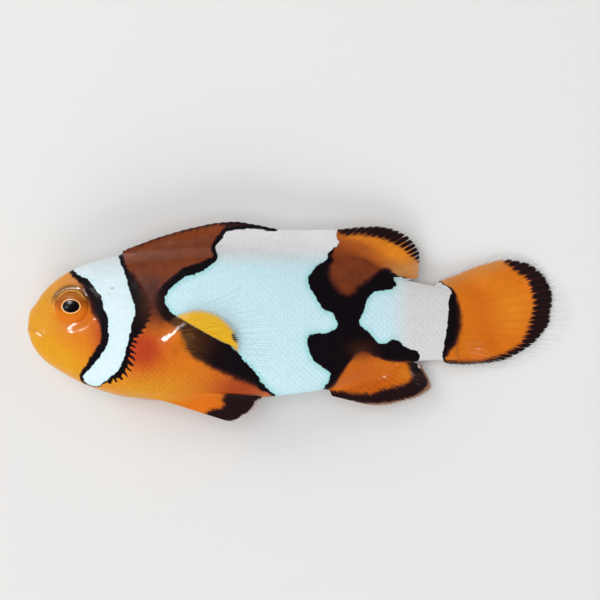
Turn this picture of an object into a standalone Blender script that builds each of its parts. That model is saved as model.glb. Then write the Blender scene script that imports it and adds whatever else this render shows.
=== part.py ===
"""Clownfish, life size: a still model of Amphiprion percula that lies on its right side.

The fish is laid out in its own frame, in metres: x runs from the tip of the snout to the tail, y
from the belly to the back, and z up from the floor that it lies on. Its left flank faces up. The
head, lower jaw, trunk and tail are parts of one lofted body, divided by thin cuts. Every fin is a
thin rayed sheet that springs from the body, and each eye sits in a socket of the head. The whole
is set down with the middle of its outline, seen from above, at the origin.
"""

import math

import bmesh
import bpy
import numpy as np
from mathutils import Vector

MM = 0.001

# Overall sizes
BODY_LENGTH = 61.6 * MM  # snout to the root of the tail fin
MID_HEIGHT = 5.95 * MM  # height of the middle plane over the floor, from the snout to the trunk
FIN_THICKNESS = 0.6 * MM
GAP = 0.3 * MM  # clearance between neighbouring pieces

# The tail sags sideways until the end of its fin lies on the floor.
SAG_START = 30.0 * MM
SAG_END = 77.0 * MM
RAY_RELIEF = 0.10 * MM  # how far a fin ray stands out of its fin
FLAT_DEPTH = 0.03 * MM  # what the floor takes off the lowest surfaces, as small flats
SAG = MID_HEIGHT - FIN_THICKNESS / 2 - RAY_RELIEF + FLAT_DEPTH

# Body sections in millimetres: distance from the snout, height of the back, height of the belly,
# half width, and the height at which the section is widest.
BODY_SECTIONS = (
    (0.0, -0.3, -1.2, 0.0, -0.7),
    (0.3, 1.3, -2.9, 1.1, -0.7),
    (1.0, 2.3, -4.3, 1.8, -0.8),
    (2.5, 4.4, -6.0, 2.65, -0.9),
    (5.0, 6.5, -7.7, 3.65, -0.9),
    (9.0, 8.35, -9.75, 4.95, -1.0),
    (14.0, 9.6, -11.2, 5.95, -1.1),
    (20.0, 10.1, -11.85, 6.3, -1.1),
    (28.0, 10.5, -11.8, 5.8, -1.0),
    (36.0, 10.0, -11.2, 4.8, -0.7),
    (44.0, 8.6, -10.0, 3.6, -0.6),
    (52.0, 6.6, -7.1, 2.4, -0.4),
    (58.0, 5.3, -6.1, 1.7, -0.4),
    (61.6, 4.6, -6.0, 1.35, -0.7),
)
BACK_POWER = 1.9  # superellipse power of the upper half of a section: 2 is an ellipse
BELLY_POWER = 2.35  # of the lower half, which is fuller
RINGS = 36
POINTS_AROUND = 28
SNOUT_CROWDING = 1.7  # the rings crowd towards the blunt snout

# Where the body is divided, in millimetres.
GILL_EDGE = (
    (13.2, 14.0), (15.0, 8.0), (16.9, 4.0), (17.8, 0.5),
    (17.4, -2.5), (15.8, -5.5), (14.2, -8.5), (9.5, -14.0),
)
MOUTH_LINE = ((-1.0, -1.15), (0.4, -1.2), (1.4, -1.55), (2.3, -2.3))
JAW_HINGE_LINE = ((2.3, -2.3), (3.6, -4.5), (5.4, -10.0))
TAIL_START = 54.0 * MM

# Eyes
EYE_X, EYE_Y = 6.8 * MM, 2.2 * MM
EYE_DEPTH = 2.95 * MM  # its centre, sideways from the middle plane
EYE_RADII = (2.75 * MM, 2.65 * MM, 1.5 * MM)
EYE_FACING = (-0.2, 0.2, 1.0)  # sideways, and a little forwards and up

# Fins, in millimetres: the line that the rays spring from, inside the body, and the line of their tips.
SPINY_DORSAL = {
    "base": ((13.6, 8.6), (19.5, 9.2), (27.0, 9.6), (33.6, 9.4)),
    "edge": ((13.9, 10.2), (21.6, 12.85), (29.4, 14.35), (36.3, 13.35)),
    "rays": 10,
}
SOFT_DORSAL = {
    "base": ((35.0, 9.2), (40.0, 8.6), (44.5, 7.7), (48.7, 6.6), (52.2, 5.6)),
    "edge": ((37.1, 13.0), (44.6, 13.3), (52.6, 14.0), (57.9, 11.1), (57.0, 6.9)),
    "rays": 15,
}
ANAL = {
    "base": ((43.6, -9.2), (47.0, -8.0), (50.5, -6.7), (54.2, -5.5)),
    "edge": ((44.4, -11.2), (51.6, -12.75), (59.0, -10.6), (57.9, -6.9)),
    "rays": 12,
}
CAUDAL = {
    "base": ((59.4, 4.6), (61.0, 3.0), (61.2, -0.8), (61.0, -4.4), (60.0, -5.7)),
    "edge": ((60.3, 5.95), (72.5, 10.3), (80.9, 1.2), (73.9, -6.85), (61.5, -6.6)),
    "rays": 16,
}
PECTORAL = {
    "base": ((21.8, 0.3), (21.4, -1.5), (21.5, -3.2), (22.2, -4.9)),
    "edge": ((32.2, 5.5), (36.6, 1.1), (37.4, -4.4), (35.0, -9.5)),
    "rays": 16,
}
PELVIC = {
    "base": ((17.6, -11.0), (18.8, -10.7), (20.0, -10.5)),
    "edge": ((28.9, -15.0), (32.6, -13.2), (33.9, -11.2)),
    "rays": 6,
}
PECTORAL_STANDOFF = (0.75 * MM, 1.5 * MM)  # from the flank to the middle of the fin, at root and tip
PELVIC_SPREAD = (1.5 * MM, 2.3 * MM)  # from the middle plane, at root and tip
FIN_STEPS = 5
SCALLOP = 0.25 * MM  # how far the web between two rays is drawn in at the edge
FIN_POCKET_GROWTH = 0.35 * MM  # the flank's hollow for the right pectoral fin is this much larger

# Colours: linear red, green, blue and alpha, with the roughness of wet skin
SKIN_ORANGE = (0.72, 0.26, 0.02, 1)
SKIN_WHITE = (0.62, 0.80, 0.84, 1)
FIN_ORANGE = (0.66, 0.16, 0.01, 1)
FIN_BROWN = (0.19, 0.05, 0.02, 1)
FIN_YELLOW = (0.76, 0.44, 0.02, 1)
EYE_BLACK = (0.01, 0.006, 0.008, 1)
WET_ROUGHNESS = 0.25
EYE_ROUGHNESS = 0.08

BIG = 30 * MM  # reach of a cutter beyond the body


def clear_scene():
    for obj in list(bpy.data.objects):
        bpy.data.objects.remove(obj, do_unlink=True)


def make_collection(name):
    collection = bpy.data.collections.new(name)
    bpy.context.scene.collection.children.link(collection)
    return collection


def curve_through(points, at):
    """Points of a smooth curve through the given ones, at parameters 0 to 1 spread evenly over them."""
    points = np.asarray(points, float)
    return hermite(np.linspace(0, 1, len(points)), points, np.asarray(at, float))


def hermite(knots, values, at):
    """Cubic Hermite interpolation of rows of values, with central-difference tangents."""
    slopes = np.gradient(values, knots, axis=0)
    cell = np.clip(np.searchsorted(knots, at, side="right") - 1, 0, len(knots) - 2)
    width = knots[cell + 1] - knots[cell]
    t = ((at - knots[cell]) / width)[:, None]
    width = width[:, None]
    return (
        values[cell] * (1 + 2 * t) * (1 - t) ** 2
        + slopes[cell] * width * t * (1 - t) ** 2
        + values[cell + 1] * t**2 * (3 - 2 * t)
        + slopes[cell + 1] * width * t**2 * (t - 1)
    )


def body_section(x):
    """Back, belly, half width and widest height at x, in metres.

    The table is read against the square root of the distance, which makes the snout blunt and round.
    """
    table = np.array(BODY_SECTIONS)
    return (hermite(np.sqrt(table[:, 0]), table[:, 1:], np.sqrt(np.atleast_1d(x) / MM)) * MM).T


def mid_plane(x):
    """Height of the middle plane over the floor: level, then sagging to the end of the tail."""
    t = np.clip((x - SAG_START) / (SAG_END - SAG_START), 0, 1)
    return MID_HEIGHT - SAG * t * t * (3 - 2 * t)


def flank_width(x, y):
    """Sideways distance from the middle plane to the skin at (x, y), and 0 outside the body."""
    back, belly, half_width, widest = body_section(x)
    above = y > widest
    rise = np.where(above, (y - widest) / (back - widest), (widest - y) / (widest - belly))
    power = np.where(above, BACK_POWER, BELLY_POWER)
    return half_width * np.clip(1 - np.clip(rise, 0, 1) ** power, 0, 1) ** (1 / power)


def body_mesh(name, grow=0.0):
    """The whole body: a superellipse section carried from the snout to the tail fin's root."""
    x = BODY_LENGTH * (np.arange(1, RINGS + 1) / RINGS) ** SNOUT_CROWDING
    back, belly, half_width, widest = body_section(x)
    angle = 2 * np.pi * np.arange(POINTS_AROUND) / POINTS_AROUND
    cosine, sine = np.cos(angle), np.sin(angle)
    power = 2 / np.where(cosine > 0, BACK_POWER, BELLY_POWER)
    up = np.sign(cosine) * np.abs(cosine) ** power
    side = np.sign(sine) * np.abs(sine) ** power
    height = np.where(up > 0, (back - widest)[:, None], (widest - belly)[:, None])
    y = widest[:, None] + (height + grow) * up
    z = mid_plane(x)[:, None] + (half_width[:, None] + grow) * side
    rings = np.stack([np.repeat(x[:, None], POINTS_AROUND, 1), y, z], axis=2)
    rings[-1, :, 0] += grow

    model = bmesh.new()
    verts = [[model.verts.new(point) for point in ring] for ring in rings]
    _, _, _, tip_height = body_section(0.0)
    tip = model.verts.new((-grow, tip_height[0], mid_plane(0.0)))
    for j in range(POINTS_AROUND):
        k = (j + 1) % POINTS_AROUND
        model.faces.new((tip, verts[0][j], verts[0][k]))
        for i in range(RINGS - 1):
            model.faces.new((verts[i][j], verts[i + 1][j], verts[i + 1][k], verts[i][k]))
    model.faces.new(verts[-1][::-1])
    bmesh.ops.recalc_face_normals(model, faces=model.faces)
    mesh = bpy.data.meshes.new(name)
    model.to_mesh(mesh)
    model.free()
    return mesh


def add_object(name, mesh, collection, parent=None):
    obj = bpy.data.objects.new(name, mesh)
    collection.objects.link(obj)
    obj.parent = parent
    return obj


def hide_cutter(obj):
    obj.hide_render = True
    obj.display_type = "WIRE"
    return obj


def prism(name, outline, collection, parent):
    """A cutter: a flat outline, in metres, carried straight up and down through the whole body."""
    model = bmesh.new()
    face = model.faces.new([model.verts.new((x, y, -BIG)) for x, y in outline])
    made = bmesh.ops.extrude_face_region(model, geom=[face])
    top = [item for item in made["geom"] if isinstance(item, bmesh.types.BMVert)]
    bmesh.ops.translate(model, verts=top, vec=(0, 0, 2 * BIG))
    bmesh.ops.recalc_face_normals(model, faces=model.faces)
    mesh = bpy.data.meshes.new(name)
    model.to_mesh(mesh)
    model.free()
    return hide_cutter(add_object(name, mesh, collection, parent))


def floor_block(collection, parent):
    """A cutter: everything under the floor."""
    model = bmesh.new()
    bmesh.ops.create_cube(model, size=1)
    bmesh.ops.scale(model, verts=model.verts, vec=(8 * BIG, 4 * BIG, BIG))
    bmesh.ops.translate(model, verts=model.verts, vec=(BIG, 0, -BIG / 2))
    mesh = bpy.data.meshes.new("floor_block")
    model.to_mesh(mesh)
    model.free()
    return hide_cutter(add_object("floor_block", mesh, collection, parent))


def boolean(obj, operation, cutter):
    modifier = obj.modifiers.new(f"{operation.lower()}_{cutter.name}", "BOOLEAN")
    modifier.operation = operation
    modifier.object = cutter


def in_metres(points):
    return [(x * MM, y * MM) for x, y in points]


def gill_line(offset=0.0):
    """The rear edge of the gill covers, from the back to the belly, moved tailwards by offset."""
    line = curve_through(GILL_EDGE, np.linspace(0, 1, 15)) * MM
    return [(x + offset, y) for x, y in line]


def jaw_outline(gap=0.0):
    """The lower jaw seen from the side: under the mouth line, and in front of the jaw's hinge line."""
    mouth = [(x, y + gap) for x, y in in_metres(MOUTH_LINE)]
    hinge = [(x + gap, y) for x, y in in_metres(JAW_HINGE_LINE)]
    return mouth[:-1] + hinge + [(-BIG, -10 * MM), (-BIG, mouth[0][1])]


def eye_shape(name, side, grow, collection, parent):
    """An eye on one side of the head, all round larger by grow: a flattened ball that faces outwards."""
    model = bmesh.new()
    bmesh.ops.create_uvsphere(model, u_segments=18, v_segments=10, radius=1)
    bmesh.ops.scale(model, verts=model.verts, vec=[radius + grow for radius in EYE_RADII])
    ahead, up, out = EYE_FACING
    turn = Vector((0, 0, side)).rotation_difference(Vector((ahead, up, side * out)))
    bmesh.ops.rotate(model, verts=model.verts, matrix=turn.to_matrix())
    bmesh.ops.translate(model, verts=model.verts, vec=(EYE_X, EYE_Y, MID_HEIGHT + side * EYE_DEPTH))
    mesh = bpy.data.meshes.new(name)
    model.to_mesh(mesh)
    model.free()
    return add_object(name, mesh, collection, parent)


def fin_mesh(name, fin, surface, grow=0.0):
    """An open rayed sheet between the fin's base and edge lines.

    Each ray takes two columns of the grid: its own, which stands out and reaches the edge, and that
    of the web beside it, which lies deeper and stops short. surface(x, y, s) gives the sheet's
    height, with s running from 0 at the root to 1 at the edge.
    """
    columns = 2 * fin["rays"] + 1
    across = np.linspace(0, 1, columns)
    base = curve_through(fin["base"], across) * MM
    edge = curve_through(fin["edge"], across) * MM
    on_ray = np.arange(columns) % 2
    along = edge - base
    along /= np.linalg.norm(along, axis=1)[:, None]
    base -= along * grow
    edge += along * (grow - SCALLOP * (1 - on_ray))[:, None]
    if grow:
        for line in (base, edge):
            line[0] += line[0] - line[1]
            line[-1] += line[-1] - line[-2]
    s = np.linspace(0, 1, FIN_STEPS + 1)[:, None]
    x = base[:, 0] + (edge - base)[:, 0] * s
    y = base[:, 1] + (edge - base)[:, 1] * s
    z = surface(x.ravel(), y.ravel(), (s * np.ones(columns)).ravel()).reshape(x.shape)
    if not grow:
        z = z + RAY_RELIEF * (2 * on_ray - 1) * np.minimum(1, 4 * s)

    model = bmesh.new()
    verts = [[model.verts.new(point) for point in zip(*row)] for row in zip(x, y, z)]
    for low, high in zip(verts, verts[1:]):
        for j in range(columns - 1):
            model.faces.new((low[j], low[j + 1], high[j + 1], high[j]))
    bmesh.ops.recalc_face_normals(model, faces=model.faces)
    mesh = bpy.data.meshes.new(name)
    model.to_mesh(mesh)
    model.free()
    return mesh


def add_fin(name, fin, surface, cutters, collection, parent):
    """A fin of even thickness, trimmed by the given cutters."""
    obj = add_object(name, fin_mesh(name, fin, surface), collection, parent)
    thicken(obj, FIN_THICKNESS)
    for cutter in cutters:
        boolean(obj, "DIFFERENCE", cutter)
    return obj


def thicken(obj, thickness):
    solidify = obj.modifiers.new("thickness", "SOLIDIFY")
    solidify.thickness = thickness
    solidify.offset = 0


def median_surface(x, y, s):
    """The sheet of a fin in the fish's middle plane."""
    return mid_plane(x)


def pectoral_surface(side):
    """The sheet of a breast fin that lies back along the flank, free of it, and never under the floor."""

    def surface(x, y, s):
        standoff = PECTORAL_STANDOFF[0] + (PECTORAL_STANDOFF[1] - PECTORAL_STANDOFF[0]) * s
        height = mid_plane(x) + side * (flank_width(x, y) + standoff)
        return np.maximum(height, FIN_THICKNESS / 2 + RAY_RELIEF - FLAT_DEPTH)

    return surface


def pelvic_surface(side):
    """The sheet of a belly fin, which leans out from the middle plane towards its tip."""

    def surface(x, y, s):
        return mid_plane(x) + side * (PELVIC_SPREAD[0] + (PELVIC_SPREAD[1] - PELVIC_SPREAD[0]) * s)

    return surface


def material(name, colour, roughness):
    made = bpy.data.materials.new(name)
    made.use_nodes = True
    shader = made.node_tree.nodes["Principled BSDF"]
    shader.inputs["Base Color"].default_value = colour
    shader.inputs["Roughness"].default_value = roughness
    shader.inputs["Metallic"].default_value = 0
    return made


def paint(obj, colour, roughness=WET_ROUGHNESS):
    obj.data = obj.data.copy()
    obj.data.materials.clear()
    obj.data.materials.append(material(obj.name, colour, roughness))


def build_body(parts, cutters, fish, floor):
    """Head, lower jaw, trunk and tail, cut from one body, and the eyes in their sockets."""
    body = body_mesh("body")
    outlines = {
        "head_region": [(-BIG, BIG / 2), *gill_line(), (-BIG, -BIG / 2)],
        "jaw_region": jaw_outline(),
        "jaw_room": jaw_outline(GAP),
        "trunk_region": [*gill_line(GAP), (TAIL_START, -BIG / 2), (TAIL_START, BIG / 2)],
        "tail_region": [
            (TAIL_START + GAP, BIG / 2), (TAIL_START + GAP, -BIG / 2),
            (3 * BIG, -BIG / 2), (3 * BIG, BIG / 2),
        ],
    }
    cut = {name: prism(name, outline, cutters, fish) for name, outline in outlines.items()}

    head = add_object("head", body, parts, fish)
    boolean(head, "INTERSECT", cut["head_region"])
    boolean(head, "DIFFERENCE", cut["jaw_room"])
    boolean(head, "DIFFERENCE", floor)
    for side, eye_name in ((1, "eye_left"), (-1, "eye_right")):
        socket = hide_cutter(eye_shape(f"{eye_name}_socket", side, GAP, cutters, fish))
        boolean(head, "DIFFERENCE", socket)
        paint(eye_shape(eye_name, side, 0, parts, fish), EYE_BLACK, EYE_ROUGHNESS)
    paint(head, SKIN_ORANGE)

    jaw = add_object("lower_jaw", body, parts, fish)
    boolean(jaw, "INTERSECT", cut["jaw_region"])
    paint(jaw, SKIN_ORANGE)

    trunk = add_object("trunk", body, parts, fish)
    boolean(trunk, "INTERSECT", cut["trunk_region"])
    boolean(trunk, "DIFFERENCE", floor)
    paint(trunk, SKIN_WHITE)

    tail = add_object("tail", body, parts, fish)
    boolean(tail, "INTERSECT", cut["tail_region"])
    paint(tail, SKIN_WHITE)
    return trunk


def build_fins(parts, cutters, fish, floor, trunk):
    clearance_mesh = body_mesh("body_clearance", GAP)
    clearance = hide_cutter(add_object("body_clearance", clearance_mesh, cutters, fish))
    median = (
        ("dorsal_fin_spiny", SPINY_DORSAL, FIN_BROWN, [clearance]),
        ("dorsal_fin_soft", SOFT_DORSAL, FIN_ORANGE, [clearance]),
        ("anal_fin", ANAL, FIN_ORANGE, [clearance]),
        ("caudal_fin", CAUDAL, FIN_ORANGE, [clearance, floor]),
    )
    for name, fin, colour, trimmed_by in median:
        paint(add_fin(name, fin, median_surface, trimmed_by, parts, fish), colour)

    for side, word in ((1, "left"), (-1, "right")):
        name, surface = f"pelvic_fin_{word}", pelvic_surface(side)
        paint(add_fin(name, PELVIC, surface, [clearance], parts, fish), FIN_ORANGE)
        name, surface = f"pectoral_fin_{word}", pectoral_surface(side)
        trimmed_by = [] if side > 0 else [floor]
        paint(add_fin(name, PECTORAL, surface, trimmed_by, parts, fish), FIN_YELLOW)

    # The right breast fin is pressed between the flank and the floor, in a hollow of its own shape.
    hollow_mesh = fin_mesh("fin_hollow", PECTORAL, pectoral_surface(-1), FIN_POCKET_GROWTH)
    hollow = hide_cutter(add_object("fin_hollow", hollow_mesh, cutters, fish))
    thicken(hollow, FIN_THICKNESS + 2 * (GAP + RAY_RELIEF))
    boolean(trunk, "DIFFERENCE", hollow)


def pieces(collection):
    return [obj for obj in collection.objects if obj.type == "MESH"]


def centre_on_floor(fish, parts):
    """Moves the whole fish so that the middle of its outline, seen from above, is at the origin."""
    bpy.context.view_layer.update()
    graph = bpy.context.evaluated_depsgraph_get()
    corners = []
    for obj in pieces(parts):
        shown = obj.evaluated_get(graph)
        corners += [shown.matrix_world @ Vector(corner) for corner in shown.bound_box]
    low = [min(corner[axis] for corner in corners) for axis in range(2)]
    high = [max(corner[axis] for corner in corners) for axis in range(2)]
    fish.location = (-(low[0] + high[0]) / 2, -(low[1] + high[1]) / 2, 0)
    bpy.context.view_layer.update()


def shade(parts):
    for obj in pieces(parts):
        obj.data.shade_smooth()
        obj.data.set_sharp_from_angle(angle=math.radians(40))


def main():
    clear_scene()
    parts = make_collection("clownfish")
    cutters = make_collection("cutters")
    fish = add_object("clownfish_frame", None, parts)
    floor = floor_block(cutters, fish)
    trunk = build_body(parts, cutters, fish, floor)
    build_fins(parts, cutters, fish, floor, trunk)
    shade(parts)
    centre_on_floor(fish, parts)


main()
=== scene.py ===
"""Looks of a clownfish that lies on its right side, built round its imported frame.

The fish is laid out in millimetres in its own frame: x from the tip of the snout to the tail, y from
the belly to the back, and z up from the floor, so that its left flank faces up. One closed skin
carries the head, jaw, trunk and tail, with overlapping scales laid on it. The fins are thin rayed
sheets, and the eyes are flattened balls that sit in the skin. The markings are distances to smooth
outlines, worked out the same way for every point, so skin, scales and fins carry them alike.
"""

import bpy
import numpy as np
from mathutils import Matrix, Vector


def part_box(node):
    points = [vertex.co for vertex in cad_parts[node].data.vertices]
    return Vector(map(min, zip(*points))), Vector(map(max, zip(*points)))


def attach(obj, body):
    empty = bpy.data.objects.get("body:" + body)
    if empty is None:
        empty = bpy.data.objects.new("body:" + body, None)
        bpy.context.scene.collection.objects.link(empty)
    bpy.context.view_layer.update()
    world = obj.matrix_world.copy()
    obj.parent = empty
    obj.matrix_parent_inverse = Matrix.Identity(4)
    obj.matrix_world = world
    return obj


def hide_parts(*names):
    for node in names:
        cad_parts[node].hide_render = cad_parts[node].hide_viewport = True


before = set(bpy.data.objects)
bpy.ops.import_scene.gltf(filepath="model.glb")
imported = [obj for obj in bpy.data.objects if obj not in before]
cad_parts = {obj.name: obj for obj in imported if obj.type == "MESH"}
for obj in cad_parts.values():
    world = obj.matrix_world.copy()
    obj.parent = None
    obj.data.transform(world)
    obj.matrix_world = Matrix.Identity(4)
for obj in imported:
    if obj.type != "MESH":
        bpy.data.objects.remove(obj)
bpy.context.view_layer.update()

MM = 0.001

# ---------------------------------------------------------------- the body's form

# Distance from the snout, height of the back, height of the belly, half width, and the height at
# which the section is widest.
BODY_SECTIONS = (
    (0.0, -0.3, -1.2, 0.0, -0.7),
    (0.3, 1.3, -2.9, 1.1, -0.7),
    (1.0, 2.3, -4.3, 1.8, -0.8),
    (2.5, 4.4, -6.0, 2.65, -0.9),
    (5.0, 6.5, -7.7, 3.65, -0.9),
    (9.0, 8.35, -9.75, 4.95, -1.0),
    (14.0, 9.6, -11.2, 5.95, -1.1),
    (20.0, 10.1, -11.85, 6.3, -1.1),
    (28.0, 10.5, -11.8, 5.8, -1.0),
    (36.0, 10.0, -11.2, 4.8, -0.7),
    (44.0, 8.6, -10.0, 3.6, -0.6),
    (52.0, 6.6, -7.1, 2.4, -0.4),
    (58.0, 5.3, -6.1, 1.7, -0.4),
    (61.6, 4.6, -6.0, 1.35, -0.7),
)
BACK_POWER = 1.9
BELLY_POWER = 2.35
BODY_END = 61.6
TAIL_TONGUE = 1.7  # the skin runs on this far over the root of the tail fin, thinning out
MID_HEIGHT = 5.95
SAG_START, SAG_END = 30.0, 77.0
SAG = 5.58
SKIN_DEPTH = 0.05  # the skin lies this deep, and the scales fill up to the solid's surface

# How far the flesh rises into the roots of the back and belly fins: distance from the snout, and height.
BACK_ROOT = (
    (0.0, 0.0), (13.2, 0.0), (16.0, 0.7), (20.0, 1.5), (26.0, 2.2), (34.0, 2.3), (46.0, 2.3), (50.0, 2.1),
    (52.4, 0.8), (54.0, 0.0), (64.0, 0.0),
)
BELLY_ROOT = (
    (0.0, 0.0), (43.2, 0.0), (45.0, 0.8), (48.0, 1.7), (52.0, 1.7), (54.0, 0.7), (55.5, 0.0), (64.0, 0.0),
)
ROOT_SPREAD = 0.5

EYE_PLACE = (6.8, 2.2)
EYE_MIDDLE = (6.74, 1.98)
EYE_DEPTH = 2.95
EYE_RADII = (2.72, 2.62, 1.47)
EYE_FACING = (-0.2, 0.2, 1.0)
PUPIL_RADII = (1.27, 0.93)
PUPIL_OFF = (0.25, -0.25)  # from the middle of the eyeball's front

eye_low, eye_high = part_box("eye_left")
SHIFT = np.array([(low + high) / 2 / MM for low, high in zip(eye_low, eye_high)])
SHIFT[:2] -= EYE_PLACE
SHIFT[2] = 0.0


def unit(vectors):
    """The vectors, each divided by its length."""
    return vectors / np.maximum(np.linalg.norm(vectors, axis=-1, keepdims=True), 1e-12)


def to_world(points):
    """Fish millimetres to the frame's metres."""
    return (np.asarray(points) + SHIFT) * MM


def hermite(knots, values, at):
    """Cubic Hermite interpolation of rows of values, with central-difference tangents."""
    slopes = np.gradient(values, knots, axis=0)
    cell = np.clip(np.searchsorted(knots, at, side="right") - 1, 0, len(knots) - 2)
    width = knots[cell + 1] - knots[cell]
    t = ((at - knots[cell]) / width)[:, None]
    width = width[:, None]
    return (
        values[cell] * (1 + 2 * t) * (1 - t) ** 2
        + slopes[cell] * width * t * (1 - t) ** 2
        + values[cell + 1] * t**2 * (3 - 2 * t)
        + slopes[cell + 1] * width * t**2 * (t - 1)
    )


def curve_through(points, at):
    """Points of a smooth curve through the given ones, at parameters 0 to 1 spread evenly over them."""
    points = np.asarray(points, float)
    return hermite(np.linspace(0, 1, len(points)), points, np.asarray(at, float))


def ramp(value, low, high):
    """Smooth step from 0 at low to 1 at high."""
    t = np.clip((value - low) / (high - low), 0, 1)
    return t * t * (3 - 2 * t)


def body_section(x):
    """Back, belly, half width and widest height at x, read against the square root of x.

    Past the body's end the half width falls like a quarter ellipse, which rounds the flesh off over
    the root of the tail fin.
    """
    x = np.asarray(x, float)
    table = np.array(BODY_SECTIONS)
    inside = np.sqrt(np.clip(x, 0, BODY_END)).ravel()
    rows = hermite(np.sqrt(table[:, 0]), table[:, 1:], inside)
    back, belly, half_width, widest = rows.T.reshape(4, *x.shape)
    over = np.clip((x - BODY_END) / TAIL_TONGUE, 0, 1)
    return back, belly, half_width * np.sqrt(np.clip(1 - over**2, 0.004, 1)), widest


def mid_plane(x):
    """Height of the fish's middle plane: level, then sagging until the tail lies on the floor."""
    t = np.clip((x - SAG_START) / (SAG_END - SAG_START), 0, 1)
    return MID_HEIGHT - SAG * t * t * (3 - 2 * t)


def flank_width(x, y):
    """Sideways distance from the middle plane to the flank at (x, y), and 0 outside the body."""
    back, belly, half_width, widest = body_section(x)
    above = y > widest
    rise = np.where(above, (y - widest) / (back - widest), (widest - y) / (widest - belly))
    power = np.where(above, BACK_POWER, BELLY_POWER)
    return half_width * np.clip(1 - np.clip(rise, 0, 1) ** power, 0, 1) ** (1 / power)


def root_height(table, x):
    """Height of the flesh in a fin's root at x, by Hermite interpolation, and never below 0."""
    table = np.array(table)
    return np.clip(hermite(table[:, 0], table[:, 1:], np.ravel(x)), 0, None).reshape(np.shape(x))


def body_point(x, turn):
    """A superellipse section carried along x. turn is 0 at the back and half a circle at the belly.

    Where a fin grows out of the back or belly, the section rises into it, by a height that falls off
    exponentially with the distance from the middle plane.
    """
    back, belly, half_width, widest = body_section(x)
    cosine, sine = np.cos(turn), np.sin(turn)
    power = 2 / np.where(cosine > 0, BACK_POWER, BELLY_POWER)
    up = np.sign(cosine) * np.abs(cosine) ** power
    side = np.sign(sine) * np.abs(sine) ** power
    height = np.where(up > 0, back - widest, widest - belly)
    root = np.where(up > 0, root_height(BACK_ROOT, x), root_height(BELLY_ROOT, x))
    height = height + root * np.exp(-half_width * np.abs(side) / ROOT_SPREAD)
    return np.stack([x, widest + height * up, mid_plane(x) + half_width * side], axis=-1)


def body_normal(x, turn):
    """The outward normal, from the cross product of the two directions of the surface."""
    step = 0.004
    ahead = body_point(x + step, turn) - body_point(np.maximum(x - step, 1e-4), turn)
    around = body_point(x, turn + step) - body_point(x, turn - step)
    return unit(np.cross(around, ahead))


# ---------------------------------------------------------------- outlines and distances


def closed_curve(points, steps=6):
    """A smooth closed outline through the points, by Catmull-Rom splines."""
    p = np.asarray(points, float)
    before, after, beyond = np.roll(p, 1, 0), np.roll(p, -1, 0), np.roll(p, -2, 0)
    t = (np.arange(steps) / steps)[None, :, None]
    p, before, after, beyond = (q[:, None] for q in (p, before, after, beyond))
    made = 0.5 * (
        2 * p
        + (after - before) * t
        + (2 * before - 5 * p + 4 * after - beyond) * t**2
        + (3 * p - before - 3 * after + beyond) * t**3
    )
    return made.reshape(-1, 2)


def path_distance(path, x, y):
    """Distance to an open path of straight lengths."""
    best = np.full(np.shape(x), np.inf)
    for (ax, ay), (bx, by) in zip(path, path[1:]):
        dx, dy = bx - ax, by - ay
        t = np.clip(((x - ax) * dx + (y - ay) * dy) / (dx * dx + dy * dy), 0, 1)
        best = np.minimum(best, (x - ax - t * dx) ** 2 + (y - ay - t * dy) ** 2)
    return np.sqrt(best)


def signed_distance(outline, x, y):
    """Distance to a closed outline, positive inside, where a ray to the right crosses it an odd number
    of times.
    """
    inside = np.zeros(np.shape(x), bool)
    for (ax, ay), (bx, by) in zip(outline, np.roll(outline, -1, 0)):
        crosses = (ay > y) != (by > y)
        inside ^= crosses & (x < ax + (y - ay) * (bx - ax) / (by - ay if by != ay else 1))
    distance = path_distance(np.vstack([outline, outline[:1]]), x, y)
    return np.where(inside, distance, -distance)


def blob(x, y, centre, radii):
    """A soft round spot: 1 at its centre, falling like a bell curve."""
    return np.exp(-(((x - centre[0]) / radii[0]) ** 2) - ((y - centre[1]) / radii[1]) ** 2)


def bell(value, middle, width):
    """A bell curve, 1 at the middle: e to the power of minus the square of the distance in widths."""
    return np.exp(-(((value - middle) / width) ** 2))


def spots(x, y, rows):
    """The sum of soft round spots. A row is a spot's strength, the place of its centre and its two radii."""
    return sum(strength * blob(x, y, (cx, cy), radii) for strength, cx, cy, *radii in rows)


# ---------------------------------------------------------------- markings

HEAD_BAND = closed_curve((
    (6.4, 8.6), (6.9, 7.1), (8, 6.4), (9.3, 5.6), (10.3, 4.4), (11.1, 3.5), (11.5, 1.9), (12.1, 0.5),
    (12.3, -1.4), (12.1, -3.4), (11.4, -4.7), (10.3, -6.1), (9, -7.4), (8.4, -8), (8.5, -8.8), (9.4, -9.5),
    (10.6, -9.5), (12, -8.5), (13.6, -7.2), (14.4, -5.6), (15.1, -3), (15.7, -0.4), (16.2, 1.3),
    (15.5, 3.3), (14.8, 5.8), (14.2, 7.4), (13.3, 9.2), (13.4, 10.4), (13, 12), (6.5, 12),
))
FLANK_PATCH = closed_curve((
    (29.2, 12.9), (28.4, 12), (27.4, 10.6), (27.8, 8.9), (25.9, 7.3), (24.6, 6.6), (23.2, 6.2), (21.4, 4.8),
    (20.4, 3.4), (20.4, 2.5), (21.3, 1.1), (22.8, 0.1), (25.4, -1.4), (28.5, -3.1), (30, -3.8),
    (31.8, -5.9), (33.4, -7.7), (34.5, -9.4), (36.3, -11.2), (36.6, -13), (42.6, -12.5), (43.1, -10.2),
    (44.1, -8.3), (43.7, -7.3), (41.9, -6.1), (41, -4.4), (40.7, -2.9), (41.3, -2), (43.4, -1.9),
    (44.8, -1.3), (45.1, -0.3), (44.4, 1), (43.2, 1.5), (42.1, 3.1), (40.8, 5.6), (41.9, 7.5), (43.6, 8.9),
    (43.9, 9.9), (45.3, 11), (45.1, 12.2), (44.5, 15), (37.5, 15.5), (36.5, 13.1), (33, 13.3), (31, 13.2),
))
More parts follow.
